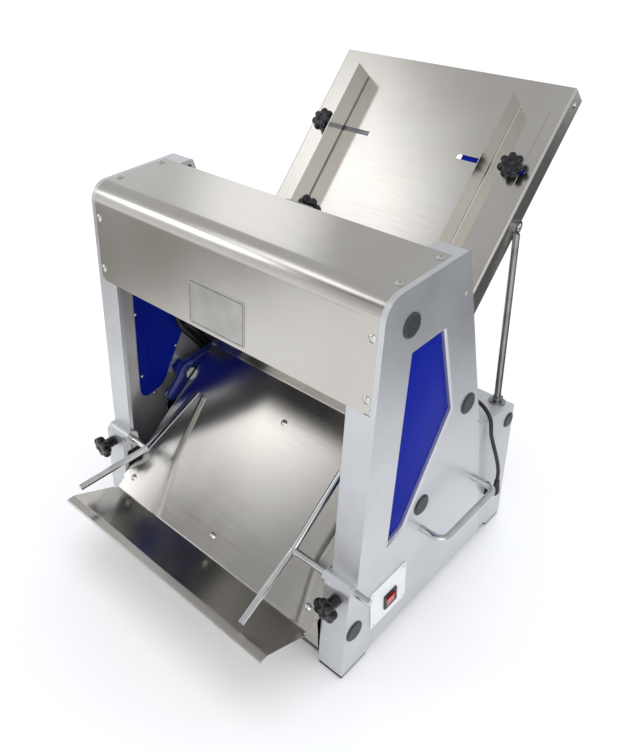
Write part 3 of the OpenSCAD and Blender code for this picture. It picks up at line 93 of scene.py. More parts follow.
# Finishes
def lin(code):
    """sRGB hex to linear light, with alpha 1."""
    c = np.array([int(code[i:i + 2], 16) for i in (1, 3, 5)]) / 255
    c = np.where(c <= 0.04045, c / 12.92, ((c + 0.055) / 1.055) ** 2.4)
    return (*(float(v) for v in c), 1.0)


def add(tree, kind, sockets=None, **settings):
    """Adds one node, sets its properties, and sets or links its input sockets."""
    n = tree.nodes.new(kind)
    for key, value in settings.items():
        setattr(n, key, value)
    for key, value in (sockets or {}).items():
        if isinstance(value, bpy.types.NodeSocket):
            tree.links.new(value, n.inputs[key])
        else:
            n.inputs[key].default_value = value
    return n


# Where a noise's two colours end, the usual range of two noises added, the noises' detail, and how far
# ground metal smears
NOISE_STOPS, NOISE_SUM = (0.35, 0.65), (0.7, 1.3)
DRIFT_DETAIL, GRAIN_DETAIL = 3.0, 4.0
SMEAR = {"Anisotropic": 0.85, "Anisotropic Rotation": 0.25}


def finish(name, low, high, patch, rough, grain, depth, metallic=0.0, stretch=(1, 1, 1), brushed=None,
           **shader):
    """One surface: its colour drifts from hex low to high over patches of patch mm, its roughness runs over
    the pair rough with the patches and the grain, and a grain of grain mm, longer by stretch along each
    axis, stands depth mm proud. A brushed metal's reflections smear square to the direction brushed.
    Constants go straight onto the shader's sockets."""
    mat = bpy.data.materials.new(name)
    mat.use_nodes = True
    tree = mat.node_tree
    tree.nodes.clear()
    place = add(tree, "ShaderNodeTexCoord").outputs["Object"]
    drift = add(tree, "ShaderNodeTexNoise", {"Vector": place, "Scale": 1 / (patch * MM),
                                             "Detail": DRIFT_DETAIL})
    ramp = add(tree, "ShaderNodeValToRGB", {"Fac": drift.outputs["Fac"]})
    for stop, position, code in zip(ramp.color_ramp.elements, NOISE_STOPS, (low, high)):
        stop.position, stop.color = position, lin(code)
    along = add(tree, "ShaderNodeMapping",
                {"Vector": place, "Scale": [1 / (grain * MM * s) for s in stretch]})
    fine = add(tree, "ShaderNodeTexNoise",
               {"Vector": along.outputs["Vector"], "Scale": 1.0, "Detail": GRAIN_DETAIL})
    both = add(tree, "ShaderNodeMath", {0: drift.outputs["Fac"], 1: fine.outputs["Fac"]}, operation="ADD")
    matt = add(tree, "ShaderNodeMapRange", {"Value": both.outputs[0], "From Min": NOISE_SUM[0],
                                            "From Max": NOISE_SUM[1], "To Min": rough[0], "To Max": rough[1]})
    bump = add(tree, "ShaderNodeBump",
               {"Height": fine.outputs["Fac"], "Distance": depth * MM, "Strength": 1.0})
    sockets = {"Base Color": ramp.outputs["Color"], "Roughness": matt.outputs["Result"],
               "Normal": bump.outputs["Normal"], "Metallic": metallic}
    if brushed:
        lay = add(tree, "ShaderNodeCombineXYZ", dict(enumerate(brushed)))
        sockets.update({"Tangent": lay.outputs[0], **SMEAR})
    sockets.update({key.replace("_", " "): value for key, value in shader.items()})
    skin = add(tree, "ShaderNodeBsdfPrincipled", sockets)
    add(tree, "ShaderNodeOutputMaterial", {"Surface": skin.outputs["BSDF"]})
    return mat


# Direction of grinding; the small y and z keep it defined on faces square to x
GROUND_ALONG_X = (1.0, 0.02, 0.02)
FINISH = {
    # Sand-cast aluminium under silver lacquer: satin, faint cast pitting of about 2 mm
    "casting": finish("cast aluminium, silver lacquer", "#c8cacd", "#d1d3d5", patch=90, rough=(0.3, 0.4),
                      grain=2.2, depth=0.015, metallic=0.7),
    # Steel panel under blue enamel: deep colour, a faint orange peel of 4 mm, a weak sheen
    "blue_panel": finish("blue enamel", "#102093", "#14269b", patch=120, rough=(0.2, 0.26),
                         grain=4.0, depth=0.003, Specular_IOR_Level=0.03),
    # Stainless sheet, finely ground along x: reflections smear across the grain, 1.2 mm wide and 70 mm long
    "stainless": finish("ground stainless sheet", "#c5c1ba", "#cbc8c2", patch=160, rough=(0.15, 0.2),
                        grain=1.2, depth=0.0008, metallic=1.0, stretch=(60, 1, 1), brushed=GROUND_ALONG_X),
    # Stainless button-head screws, tumbled bright
    "bright_screw": finish("tumbled stainless screw", "#d0cec9", "#dedcd8", patch=6, rough=(0.1, 0.2),
                           grain=0.9, depth=0.002, metallic=1.0),
    # Drawn steel strut, satin, marks along its length
    "strut": finish("drawn steel rod", "#8b8c8b", "#a2a3a2", patch=30, rough=(0.24, 0.36),
                    grain=0.8, depth=0.006, metallic=1.0, stretch=(1, 12, 25)),
    # Moulded black phenolic: glossy with a slight moulded ripple
    "knob": finish("moulded black phenolic", "#101014", "#18181c", patch=14, rough=(0.16, 0.26),
                   grain=1.6, depth=0.012),
    # Folded sheet under silver paint: satin with a fine spray texture
    "housing": finish("silver-painted sheet", "#c0c2c5", "#cacccf", patch=90, rough=(0.34, 0.46),
                      grain=2.0, depth=0.03, metallic=0.55),
    # Mill-finish steel flats: dull grey, rolling marks along x
    "frame_steel": finish("mill-finish steel", "#83868a", "#96999d", patch=40, rough=(0.32, 0.46),
                          grain=1.5, depth=0.015, metallic=1.0, stretch=(20, 1, 1)),
    # Polished stainless rod: near mirror
    "bright_rod": finish("polished stainless rod", "#c9cac9", "#d9dad9", patch=25, rough=(0.08, 0.14),
                         grain=0.7, depth=0.001, metallic=1.0),
    # White plastic laminate plate: satin
    "switch_plate": finish("white laminate", "#eceef0", "#f4f5f7", patch=30, rough=(0.34, 0.44),
                           grain=1.2, depth=0.01),
    # Moulded black nylon: satin black
    "switch_bezel": finish("moulded black nylon", "#17181a", "#222326", patch=10, rough=(0.3, 0.42),
                           grain=0.8, depth=0.01),
    # Red polycarbonate rocker: clear gloss over a deep red
    "red_rocker": finish("red polycarbonate", "#b5171c", "#cf2a24", patch=8, rough=(0.14, 0.24),
                         grain=1.2, depth=0.008, Coat_Weight=0.5),
    # Polyethylene hole plug, matt black that has greyed a little
    "hole_plug": finish("moulded polyethylene", "#26282c", "#34373c", patch=16, rough=(0.36, 0.5),
                        grain=1.0, depth=0.02),
    # Moulded rubber foot: dull black
    "foot_rubber": finish("moulded rubber", "#1b1b1d", "#28282a", patch=14, rough=(0.6, 0.75),
                          grain=1.2, depth=0.05),
    # Turned steel with fine tool marks
    "machined_steel": finish("turned steel", "#a4a7aa", "#b6b9bb", patch=12, rough=(0.2, 0.32),
                             grain=0.6, depth=0.006, metallic=1.0, stretch=(1, 15, 15)),
    # Ground steel bar: satin, lines along the bar
    "blade_frame": finish("ground steel bar", "#8f9296", "#a4a7aa", patch=30, rough=(0.24, 0.36),
                          grain=0.8, depth=0.006, metallic=1.0, stretch=(1, 10, 30)),
    # Ground and polished blade steel, lines along the blade
    "blade": finish("polished blade steel", "#c8cacb", "#d8dadb", patch=18, rough=(0.14, 0.24),
                    grain=0.6, depth=0.003, metallic=1.0, stretch=(1, 5, 40)),
    # Blue enamel on the rocker arms: glossy over a cast skin
    "rocker_paint": finish("blue enamel on castings", "#1d2a72", "#27378a", patch=25, rough=(0.24, 0.38),
                           grain=2.0, depth=0.03, Coat_Weight=0.5),
    # Turned grey iron: dark and dull
    "pulley": finish("turned grey iron", "#56595d", "#676a6e", patch=14, rough=(0.34, 0.46),
                     grain=0.8, depth=0.01, metallic=1.0),
    # Grey-blue hammer paint on the motor: dimpled gloss
    "motor_paint": finish("grey-blue hammer paint", "#42566b", "#516679", patch=18, rough=(0.3, 0.42),
                          grain=3.0, depth=0.08, Coat_Weight=0.3),
    # Rubber V-belt with a woven jacket: dull black
    "belt": finish("rubber belt", "#1a1a1b", "#262628", patch=9, rough=(0.6, 0.74), grain=1.0, depth=0.05),
    # Ribbed polyamide sleeve round the wiring: satin black
    "loom": finish("polyamide cable sleeve", "#111113", "#1d1d20", patch=12, rough=(0.34, 0.46),
                   grain=2.2, depth=0.12, stretch=(6, 6, 1)),
    # Moulded dark grey terminal box: matt
    "terminal_box": finish("moulded grey plastic", "#303338", "#3c3f44", patch=20, rough=(0.42, 0.55),
                           grain=1.0, depth=0.02),
    # PVC-sheathed cord, satin black
    "cord": finish("PVC cord sheath", "#131315", "#1e1e20", patch=30, rough=(0.36, 0.5), grain=1.4, depth=0.02),
    # Moulded PVC gland, tie and plug: satin black
    "cord_fitting": finish("moulded PVC", "#161618", "#212124", patch=14, rough=(0.36, 0.5),
                           grain=1.0, depth=0.02),
    # Black ink in the nameplate's border groove: matt
    "border_ink": finish("black etching ink", "#2a2a2a", "#343433", patch=20, rough=(0.5, 0.6),
                         grain=0.8, depth=0.002),
    # Bare aluminium nameplate, brushed along x
    "nameplate": finish("brushed aluminium plate", "#b2b0ac", "#c0beba", patch=40, rough=(0.28, 0.4),
                        grain=0.8, depth=0.005, metallic=1.0, stretch=(40, 1, 1)),
}


# Skins
SHARP_EDGE = np.radians(35)


def turned(radii, heights, m):
    """Turned skin: P(i, t) = (R cos t, R sin t, z) with R = radii[i, t], z = heights[i], t in m steps."""
    t = 2 * np.pi * np.arange(m) / m
    radii = np.broadcast_to(radii, (len(heights), m))
    heights = np.repeat(np.array(heights, float)[:, None], m, 1)
    return np.stack([radii * np.cos(t), radii * np.sin(t), heights], -1)


def piece(name, skins, surface, body):
    """One object from closed skins: each grid of rings gets quads between neighbours and a flat face on
    its first and last ring. Rings run anticlockwise seen from the last ring's side, so faces look out."""
    points, faces, start = [], [], 0
    for grid in skins:
        n, m = grid.shape[:2]
        i, j = np.meshgrid(np.arange(n - 1) * m, np.arange(m), indexing="ij")
        k = (j + 1) % m
        quads = np.stack([i + j, i + k, i + m + k, i + m + j], -1).reshape(-1, 4) + start
        ring = np.arange(start, start + m)
        faces += [*quads.tolist(), ring[::-1].tolist(), (ring + (n - 1) * m).tolist()]
        points.append(grid.reshape(-1, 3))
        start += n * m
    mesh = bpy.data.meshes.new(name)
    mesh.from_pydata(np.concatenate(points).tolist(), [], faces)
    mesh.polygons.foreach_set("use_smooth", np.ones(len(mesh.polygons), bool))
    mesh.set_sharp_from_angle(angle=SHARP_EDGE)
    mesh.materials.append(FINISH[surface])
    mesh.validate()
    obj = bpy.data.objects.new(name, mesh)
    bpy.context.scene.collection.objects.link(obj)
    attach(obj, body)
    return obj


# Star knobs
KNOB_D, KNOB_LOBES, KNOB_HEAD = 45.0, 7, 17.0
KNOB_CORE, KNOB_RING, KNOB_LOBE = 0.36 * KNOB_D, 0.365 * KNOB_D, 0.13 * KNOB_D
KNOB_NECK, STUD, DIMPLE = 9.9, 4.0, 7.2
KNOB_STEPS, KNOB_BLEND = 112, 14


def star_knob(neck_h, stud_len):
    """Star knob on z = 0: R(z, t) = a(z) + b(z) L(t). L blends a core circle with seven lobe circles by a
    power mean; a carries the stud, the neck and the dimple, b the head, which rounds over into a crown."""
    t = 2 * np.pi * np.arange(KNOB_STEPS) / KNOB_STEPS
    off = (t * KNOB_LOBES / (2 * np.pi) + 0.5) % 1 - 0.5
    off = off * 2 * np.pi / KNOB_LOBES
    inside = np.maximum(KNOB_LOBE ** 2 - (KNOB_RING * np.sin(off)) ** 2, 0)
    lobe = np.where(inside > 0, KNOB_RING * np.cos(off) + np.sqrt(inside), 0)
    outline = (KNOB_CORE ** KNOB_BLEND + lobe ** KNOB_BLEND) ** (1 / KNOB_BLEND)
    top = neck_h + KNOB_HEAD
    rows = np.array([
        [STUD, 0, -stud_len], [STUD, 0, 0], [KNOB_NECK - 0.6, 0, 0], [KNOB_NECK, 0, 0.6],
        [KNOB_NECK, 0, neck_h - 0.4], [KNOB_NECK + 0.8, 0, neck_h + 0.2],
        [0, 0.66, neck_h + 0.9], [0, 0.84, neck_h + 2.2], [0, 0.94, neck_h + 4.2],
        [0, 0.985, neck_h + 6.2], [0, 1, neck_h + 8], [0, 1, top - 6], [0, 0.985, top - 4.2],
        [0, 0.94, top - 2.6], [0, 0.87, top - 1.4], [0, 0.77, top - 0.6], [0, 0.64, top - 0.15],
        [DIMPLE + 1.6, 0, top], [DIMPLE + 0.5, 0, top - 0.1], [DIMPLE, 0, top - 0.6],
        [DIMPLE - 0.4, 0, top - 1.6], [DIMPLE - 1.2, 0, top - 2]])
    return turned(rows[:, :1] + rows[:, 1:2] * outline, rows[:, 2], KNOB_STEPS)


def hexagon(r, m):
    """Radii of a hexagon with corners at r: R(t) = r cos 30 / cos(t mod 60 - 30), in m steps."""
    t = np.degrees(2 * np.pi * np.arange(m) / m)
    return r * np.cos(np.radians(30)) / np.cos(np.radians(t % 60 - 30))


SCREW_STEPS, DOME_STEPS, CORNER_STEPS = 48, 9, 9


def nut(r, z0, z1):
    """Hexagon nut between two heights, its corners cut by a small chamfer."""
    ring = hexagon(r, SCREW_STEPS)
    cut = 0.07 * r
    small = np.minimum(ring, r - 1.3 * cut)
    return turned(np.array([small, ring, ring, small]), [z0, z0 + cut, z1 - cut, z1], SCREW_STEPS)


FENCE_SEAT, FENCE_X, FENCE_U = 1.7, 204.0, 334.0
FENCE_NECK, FENCE_STUD, FENCE_NUT, FENCE_NUT_H, STUD_SHORT = 5.0, 12.8, 9.0, 6.0, 0.3
GUIDE_NECK, GUIDE_STUD, LEG_BACK, CLAMP_X, CLAMP_H = 17.0, 32.0, 19.0, 288.0, 170.0
PRESS_NECK, PRESS_STUD, PRESS_IN, PRESS_DROP = 8.0, 7.7, 6.4, 32.0
clamp_y = front_y(CLAMP_H) - LEG_BACK - SEAT_GAP - np.tan(np.radians(FRONT_LEAN)) * KNOB_NECK
for side, sign in (("left", -1), ("right", 1)):
    seat = TRAY_AT + sign * FENCE_X * X_AXIS + FENCE_U * TRAY[1] + FENCE_SEAT * TRAY[2]
    knob = piece(f"fence_star_knob_{side}",
                 [put(star_knob(FENCE_NECK, FENCE_STUD - STUD_SHORT), seat, TRAY),
                  put(nut(FENCE_NUT, -FENCE_STUD, FENCE_NUT_H - FENCE_STUD), seat, TRAY)],
                 "knob", f"fence_knob_{side}")
    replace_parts(knob, f"fence_knob_{side}")
    knob = piece(f"guide_star_knob_{side}",
                 [put(star_knob(GUIDE_NECK, GUIDE_STUD), [sign * CLAMP_X, clamp_y, CLAMP_H],
                      aimed(-Y_AXIS, X_AXIS))],
                 "knob", f"guide_knob_{side}")
    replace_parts(knob, f"guide_knob_{side}")
press_at = REAR_AT - PRESS_IN * REAR[1] - PRESS_DROP * REAR[2]
knob = piece("press_star_knob", [put(star_knob(PRESS_NECK, PRESS_STUD), press_at, aimed(REAR[1], X_AXIS))],
             "knob", "press_knob")
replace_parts(knob, "press_knob")


# Screws and bolts
def button_screw(head_r, head_h, shank_r, shank_len, socket_r):
    """Button-head screw on z = 0: a shank, a domed head whose arc falls from head_h to the rim, and a
    hexagon socket sunk 0.55 head_h into it; with no socket the dome closes on a small flat."""
    dome_r = (head_r ** 2 + head_h ** 2) / (2 * head_h)
    first = np.arcsin(head_r / dome_r)
    last = np.arcsin((1.25 * socket_r if socket_r else 0.02 * head_r) / dome_r)
    a = np.linspace(first, last, DOME_STEPS)[1:]
    arc_r, arc_z = dome_r * np.sin(a), head_h - dome_r * (1 - np.cos(a))
    radii = [shank_r, shank_r, 0.95 * head_r, head_r, *arc_r]
    heights = [-shank_len, 0, 0, 0.04 * head_r, *np.maximum(arc_z, 0.05 * head_r)]
    rings = np.repeat(np.array(radii, float)[:, None], SCREW_STEPS, 1)
    if socket_r:
        six = hexagon(socket_r, SCREW_STEPS)
        rings = np.concatenate([rings, [1.06 * six, six, six]])
        heights += [arc_z[-1], arc_z[-1] - 0.08 * head_h, arc_z[-1] - 0.55 * head_h]
    return turned(rings, heights, SCREW_STEPS)


# Screw sizes: head radius and height, shank radius and length, socket radius
COVER_SCREW = (6.5, 3.0, 3.0, 7.5, 2.3)
CHUTE_BOLT = (6.5, 3.4, 3.0, 9.0, 0)
STRUT_BOLT = (6.5, 3.0, 4.0, 12.8, 2.3)
TRAY_RIVET = (5.0, 2.0, 2.5, 3.5, 0)
SMALL_SCREW = (3.2, 1.5, 1.5, 1.8, 0)
PLATE_SCREW = (2.4, 1.1, 1.2, 2.0, 0)
NAME_SCREW = (2.0, 1.0, 1.0, 0.8, 0)

COVER_Z, COVER_REAR, COVER_EDGE = 497.0, 249.529, 18.0
COVER_FRONT_UP, COVER_TOP_BACK, COVER_TOP_FRONT = (23.0, 113.0), 48.0, 15.0
screws = []
for sign in (-1, 1):
    x = sign * (HALF_W - COVER_EDGE)
    for z in (COVER_Z + rise for rise in COVER_FRONT_UP):
        screws.append(put(button_screw(*COVER_SCREW), [x, front_y(z), z] - SEAT_GAP * FRONT[1], FRONT_OUT))
    for y in (front_y(TOWER_H) + COVER_TOP_BACK, COVER_REAR - COVER_TOP_FRONT):
        screws.append(put(button_screw(*COVER_SCREW), [x, y, TOWER_H + SEAT_GAP], np.eye(3)))
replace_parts(piece("cover_button_screws", screws, "bright_screw", "machine"), "cover_screws")

# On the chute (x, way up from the fold); on the tray's sides the struts' eyes and one rivet each
CHUTE_BOLTS = ((-232, 33), (0, 33), (232, 33), (0, 272))
EYE_U, EYE_DOWN, EYE_BOLT_X, EYE_NUT_X, EYE_NUT, EYE_NUT_H = 254.0, 27.5, 246.2, 238.4, 7.0, 5.0
RIVET_U, RIVET_DOWN, RIVET_X = 470.0, 19.0, 240.1
bolts = [put(button_screw(*CHUTE_BOLT), CHUTE_AT + [x, 0, 0] + w * CHUTE[1] + SEAT_GAP * CHUTE[2], CHUTE)
         for x, w in CHUTE_BOLTS]
eye = TRAY_AT + EYE_U * TRAY[1] - EYE_DOWN * TRAY[2]
rivet = TRAY_AT + RIVET_U * TRAY[1] - RIVET_DOWN * TRAY[2]
for sign in (1, -1):
    out = sign * X_AXIS
    bolts.append(put(button_screw(*STRUT_BOLT), eye + EYE_BOLT_X * out, SIDE_OUT[sign]))
    bolts.append(put(nut(EYE_NUT, -EYE_NUT_H, 0.0), eye + EYE_NUT_X * out, SIDE_OUT[sign]))
    bolts.append(put(button_screw(*TRAY_RIVET), rivet + RIVET_X * out, SIDE_OUT[sign]))
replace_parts(piece("chute_and_strut_bolts", bolts, "bright_screw", "machine"), "sheet_bolts")

# Small screws that hold the panels and plates: (y, z) on the castings, the switch plate and the blue panels
SIDE_SCREWS, SIDE_FACE = ((277, 598), (355, 318)), HALF_W + 0.05
PLATE_SCREWS, PLATE_FACE = ((78, 64), (158, 64), (78, 138), (158, 138)), 312.65
PANEL_SCREWS, PANEL_FACE = ((127, 400), (115, 264), (136, 212), (205, 291)), 299.85
trim = [put(button_screw(*SMALL_SCREW), [sign * SIDE_FACE, y, z], SIDE_OUT[sign])
        for sign in (1, -1) for y, z in SIDE_SCREWS]
trim += [put(button_screw(*PLATE_SCREW), [PLATE_FACE, y, z], SIDE_OUT[1]) for y, z in PLATE_SCREWS]
trim += [put(button_screw(*SMALL_SCREW), [-sign * PANEL_FACE, y, z], SIDE_OUT[sign])
         for sign in (1, -1) for y, z in PANEL_SCREWS]
piece("casting_and_plate_screws", trim, "bright_screw", "machine")


# Bare nameplate on the cover's front
def plate(half_x, half_y, corner, rows):
    """Plate with round corners: P(i, t) = corner centre + (corner - inset_i) (cos t, sin t) at height z_i,
    rows (inset, z)."""
    t = np.radians(np.concatenate([np.linspace(q, q + 90, CORNER_STEPS) for q in (0, 90, 180, 270)]))
    sx = np.repeat([1, -1, -1, 1], CORNER_STEPS) * (half_x - corner)
    sy = np.repeat([1, 1, -1, -1], CORNER_STEPS) * (half_y - corner)
    inset, z = (np.array(column, float)[:, None] for column in zip(*rows))
    r = corner - inset
    return np.stack([sx + r * np.cos(t), sy + r * np.sin(t), np.repeat(z, len(t), 1)], -1)


NAME_X, NAME_Z, NAME_T, NAME_GAP = -1.0, 539.5, 0.95, 0.05
NAME_SIZE = (63.0, 37.8, 5.0)
NAME_SCREW_X, NAME_SCREW_Z = 57.5, 32.3
NAME_ROWS = ((0, 0), (0, 0.7), (0.25, NAME_T), (2.6, NAME_T), (2.9, 0.55), (3.8, 0.55), (4.1, 0.9))
BORDER_ROWS = ((2.7, 0.5), (2.7, 0.7), (4.0, 0.7), (4.0, 0.5))
name_at = np.array([NAME_X, front_y(NAME_Z), NAME_Z]) - NAME_GAP * FRONT[1]
name_skins = [put(plate(*NAME_SIZE, NAME_ROWS), name_at, FRONT_OUT)]
for sx in (-1, 1):
    for sz in (-1, 1):
        corner = name_at + sx * NAME_SCREW_X * X_AXIS + sz * NAME_SCREW_Z * FRONT[2] - NAME_T * FRONT[1]
        name_skins.append(put(button_screw(*NAME_SCREW), corner, FRONT_OUT))
piece("bare_nameplate", name_skins, "nameplate", "machine")
piece("nameplate_border", [put(plate(*NAME_SIZE, BORDER_ROWS), name_at, FRONT_OUT)], "border_ink", "machine")

# Clamp bar under the tray at each fence, seen through the slots: blue on the right; the left one is given dull
# bare steel instead of the same blue, as painted shade for the dark seen through its slot
BAR_IN, BAR_OUT, BAR_HALF, BAR_TOP, BAR_T, BAR_CORNER, BAR_EDGE = 103.0, 222.0, 11.0, -1.8, 3.0, 2.0, 0.4
BAR_ROWS = ((BAR_EDGE, 0), (0, BAR_EDGE), (0, BAR_T - BAR_EDGE), (BAR_EDGE, BAR_T))
# The left bar's bare steel finish is painted shade: the pair would otherwise match
for side, sign, surface in (("left", -1, "frame_steel"), ("right", 1, "blue_panel")):
    middle = TRAY_AT + sign * (BAR_IN + BAR_OUT) / 2 * X_AXIS + FENCE_U * TRAY[1] + (BAR_TOP - BAR_T) * TRAY[2]
    bar = plate((BAR_OUT - BAR_IN) / 2, BAR_HALF, BAR_CORNER, BAR_ROWS)
    piece(f"fence_clamp_bar_{side}", [put(bar, middle, TRAY)], surface, f"fence_{side}")


# Mains cord: up the housing's side, over the deck, and into a tied coil behind the right tower
def smooth(points, steps):
    """Catmull-Rom curve through the points: cubic between each pair, its tangents half the span of the
    neighbours."""
    p = np.concatenate([2 * points[:1] - points[1:2], points, 2 * points[-1:] - points[-2:-1]])
    s = (np.arange(steps) / steps)[:, None]
    a, b, c, d = (p[k:len(p) - 3 + k, None] for k in range(4))
    curve = 0.5 * (2 * b + (c - a) * s + (2 * a - 5 * b + 4 * c - d) * s ** 2
                   + (3 * b - a - 3 * c + d) * s ** 3)
    return np.concatenate([curve.reshape(-1, 3), points[-1:]])


CORD_D, HOUSE_X, CORD_SIDES = 7.0, 307.0, 16
SAME_POINT, LEAD_STEPS = 1e-5, 6
GLAND_EXIT = np.array([325.1, 424.023, 145.0])
SIDE_ROUTE = np.array([[0, 0, 0.1], [0, 0, 7], [0.5, -2, 23], [0, -7, 43], [-2, -13, 65], [-5, -19, 87]])
DECK_ROUTE = np.array([
    [9.5, 49, -40], [8, 42, -26], [7.3, 37, -12], [3.6, 34.5, 2.5], [-6.5, 35, 13.6], [-20, 38.5, 19.4],
    [-36, 47, 18.5], [-51, 57.5, 14], [-65.5, 69.5, 9], [-80, 82, 5.4], [-95, 93.5, 4.4], [-111, 103.5, 4.4],
    [-128, 111, 4.6], [-146, 115.5, 4.9], [-163, 117, 5.1], [-172, 117, 5.1], [-179, 117, 5.1]])
COIL_PITCH, COIL_TURNS, COIL_DIP, COIL_STEPS = 7.6, 3, 1.9, 72
COIL_OUT, COIL_IN = 53.05, 30.25
COIL_MID = np.array([121.0, 63.95, 5.1])


def wound(angle, r, z):
    """Point of the coil on the deck: middle + (r cos, r sin, z)."""
    a = np.radians(angle)
    return COIL_MID + np.stack([r * np.cos(a), r * np.sin(a), np.broadcast_to(z, a.shape)], -1)


turn = np.linspace(0, COIL_TURNS, COIL_STEPS * COIL_TURNS + 1)
half = np.linspace(0, 1, COIL_STEPS // 2 + 1)[1:-1]
coil = np.concatenate([
    wound(90 + 360 * turn, COIL_OUT - COIL_PITCH * turn, 0.0),
    wound(90 + 180 * half, COIL_IN - COIL_DIP * np.sin(np.pi * half), COIL_PITCH * (1 - np.cos(np.pi * half)) / 2),
    wound(270 + 360 * turn, COIL_IN + COIL_PITCH * turn, COIL_PITCH)])
coil = np.concatenate([coil, coil[-1:] + [CORD_D, 0, 0]])
lead = np.concatenate([GLAND_EXIT + SIDE_ROUTE, DECK_AT + (DECK_ROUTE + [HOUSE_X, 0, 0]) @ DECK])
line = np.concatenate([home(smooth(lead, LEAD_STEPS)), put(coil, DECK_AT, DECK)])
line = line[np.concatenate([[True], np.linalg.norm(np.diff(line, axis=0), axis=1) > SAME_POINT])]


def swept(path, ref, r, m):
    """Tube: P(i, t) = path + r (e cos t + g sin t), with e the part of ref square to the path and
    g = path x e."""
    t = 2 * np.pi * np.arange(m) / m
    run = np.gradient(path, axis=0)
    run /= np.linalg.norm(run, axis=1, keepdims=True)
    e = ref - np.sum(ref * run, 1, keepdims=True) * run
    e /= np.linalg.norm(e, axis=1, keepdims=True)
    g = np.cross(run, e)
    return path[:, None] + r * (e[:, None] * np.cos(t)[:, None] + g[:, None] * np.sin(t)[:, None])


# The tube's reference turns from y to the deck's normal between two lengths along the cord, in metres
TWIST_FROM, TWIST_OVER = 0.2, 0.15
travel = np.concatenate([[0], np.cumsum(np.linalg.norm(np.diff(line, axis=0), axis=1))])
blend = np.clip((travel - TWIST_FROM) / TWIST_OVER, 0, 1)[:, None]
tube = swept(line, (1 - blend) * Y_AXIS + blend * DECK[2], CORD_D / 2 * MM, CORD_SIDES)
cord = piece("mains_cord", [tube], "cord", "machine")
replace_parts(cord, "power_cord", "cord_coil")


def loft(rows, m):
    """Loft along x: P(i, t) = (x, w |cos t|^(2/n), h |sin t|^(2/n)) with signs kept, rows (x, w, h, n)."""
    t = -2 * np.pi * np.arange(m) / m
    x, w, h, n = (np.array(column, float)[:, None] for column in zip(*rows))
    c, s = np.cos(t), np.sin(t)
    wide = w * np.sign(c) * np.abs(c) ** (2 / n)
    high = h * np.sign(s) * np.abs(s) ** (2 / n)
    return np.stack([np.broadcast_to(x, (len(rows), m)), wide, high], -1)[:, ::-1]


RIB_PITCH, RIB_R, RIB_STEP, RIB_DEEP, RIB_COUNT = 4.0, 4.5, 0.5, 0.4, 6
PIN_APART, PIN_UP, GRIP_SIDES, PIN_SIDES = 8.0, 4.0, 40, 24
PLUG_AT = (128.1, 10.9, 12.7)
ribs = [(RIB_PITCH * k + x, RIB_R - sink + RIB_STEP * k, RIB_R - sink + RIB_STEP * k, 2)
        for k in range(RIB_COUNT) for x, sink in ((0, 0), (2.2, 0), (2.4, RIB_DEEP), (3.8, RIB_DEEP))]
grip = [(25, 8, 8, 2), (25.5, 9.4, 9.2, 2.6), (27.5, 10.2, 9.9, 3.4), (34, 10.9, 9.2, 4), (46, 12.3, 9.0, 4),
        (57, 13.7, 9.6, 4.5), (62.5, 14.6, 9.9, 5), (64.6, 14.5, 9.8, 5), (65, 13.8, 9.2, 5)]
blade_pin = [(64.5, 1.0, 3.0, 8), (80, 1.0, 3.0, 8), (82.2, 0.9, 2.6, 6), (83, 0.5, 1.8, 4)]
earth_pin = [(x, h, w, n) for x, w, h, n in blade_pin]
plug_at = DECK_AT + np.array(PLUG_AT) @ DECK
plug_skins = [loft(ribs + grip, GRIP_SIDES), loft(blade_pin, PIN_SIDES) - [0, PIN_APART, 0],
              loft(blade_pin, PIN_SIDES) + [0, PIN_APART, 0], loft(earth_pin, PIN_SIDES) + [0, 0, PIN_UP]]
plug = piece("mains_plug_body", [put(grid, plug_at, DECK) for grid in plug_skins], "cord_fitting", "machine")
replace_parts(plug, "mains_plug")


# Imported solids: merged corners, smooth curves, and a small round on the sharp edges of the finishes listed in
# EDGE_ROUND
WELD, CRISP, FLAT = 0.005 * MM, np.radians(28), np.radians(0.5)
merge = bpy.data.node_groups.new("smooth curved walls", "GeometryNodeTree")
merge.interface.new_socket("Mesh", in_out="INPUT", socket_type="NodeSocketGeometry")
merge.interface.new_socket("Mesh", in_out="OUTPUT", socket_type="NodeSocketGeometry")
source = add(merge, "NodeGroupInput")
welded = add(merge, "GeometryNodeMergeByDistance", {"Geometry": source.outputs[0], "Distance": WELD})
round_all = add(merge, "GeometryNodeSetShadeSmooth",
                {"Geometry": welded.outputs[0], "Shade Smooth": True}, domain="FACE")
angle = add(merge, "GeometryNodeInputMeshEdgeAngle")
steep = add(merge, "FunctionNodeCompare", {0: angle.outputs["Unsigned Angle"], 1: float(CRISP)},
            data_type="FLOAT", operation="GREATER_THAN")
crisp = add(merge, "GeometryNodeSetShadeSmooth",
            {"Geometry": round_all.outputs[0], "Selection": steep.outputs[0], "Shade Smooth": False},
            domain="EDGE")
add(merge, "NodeGroupOutput", {0: crisp.outputs[0]})

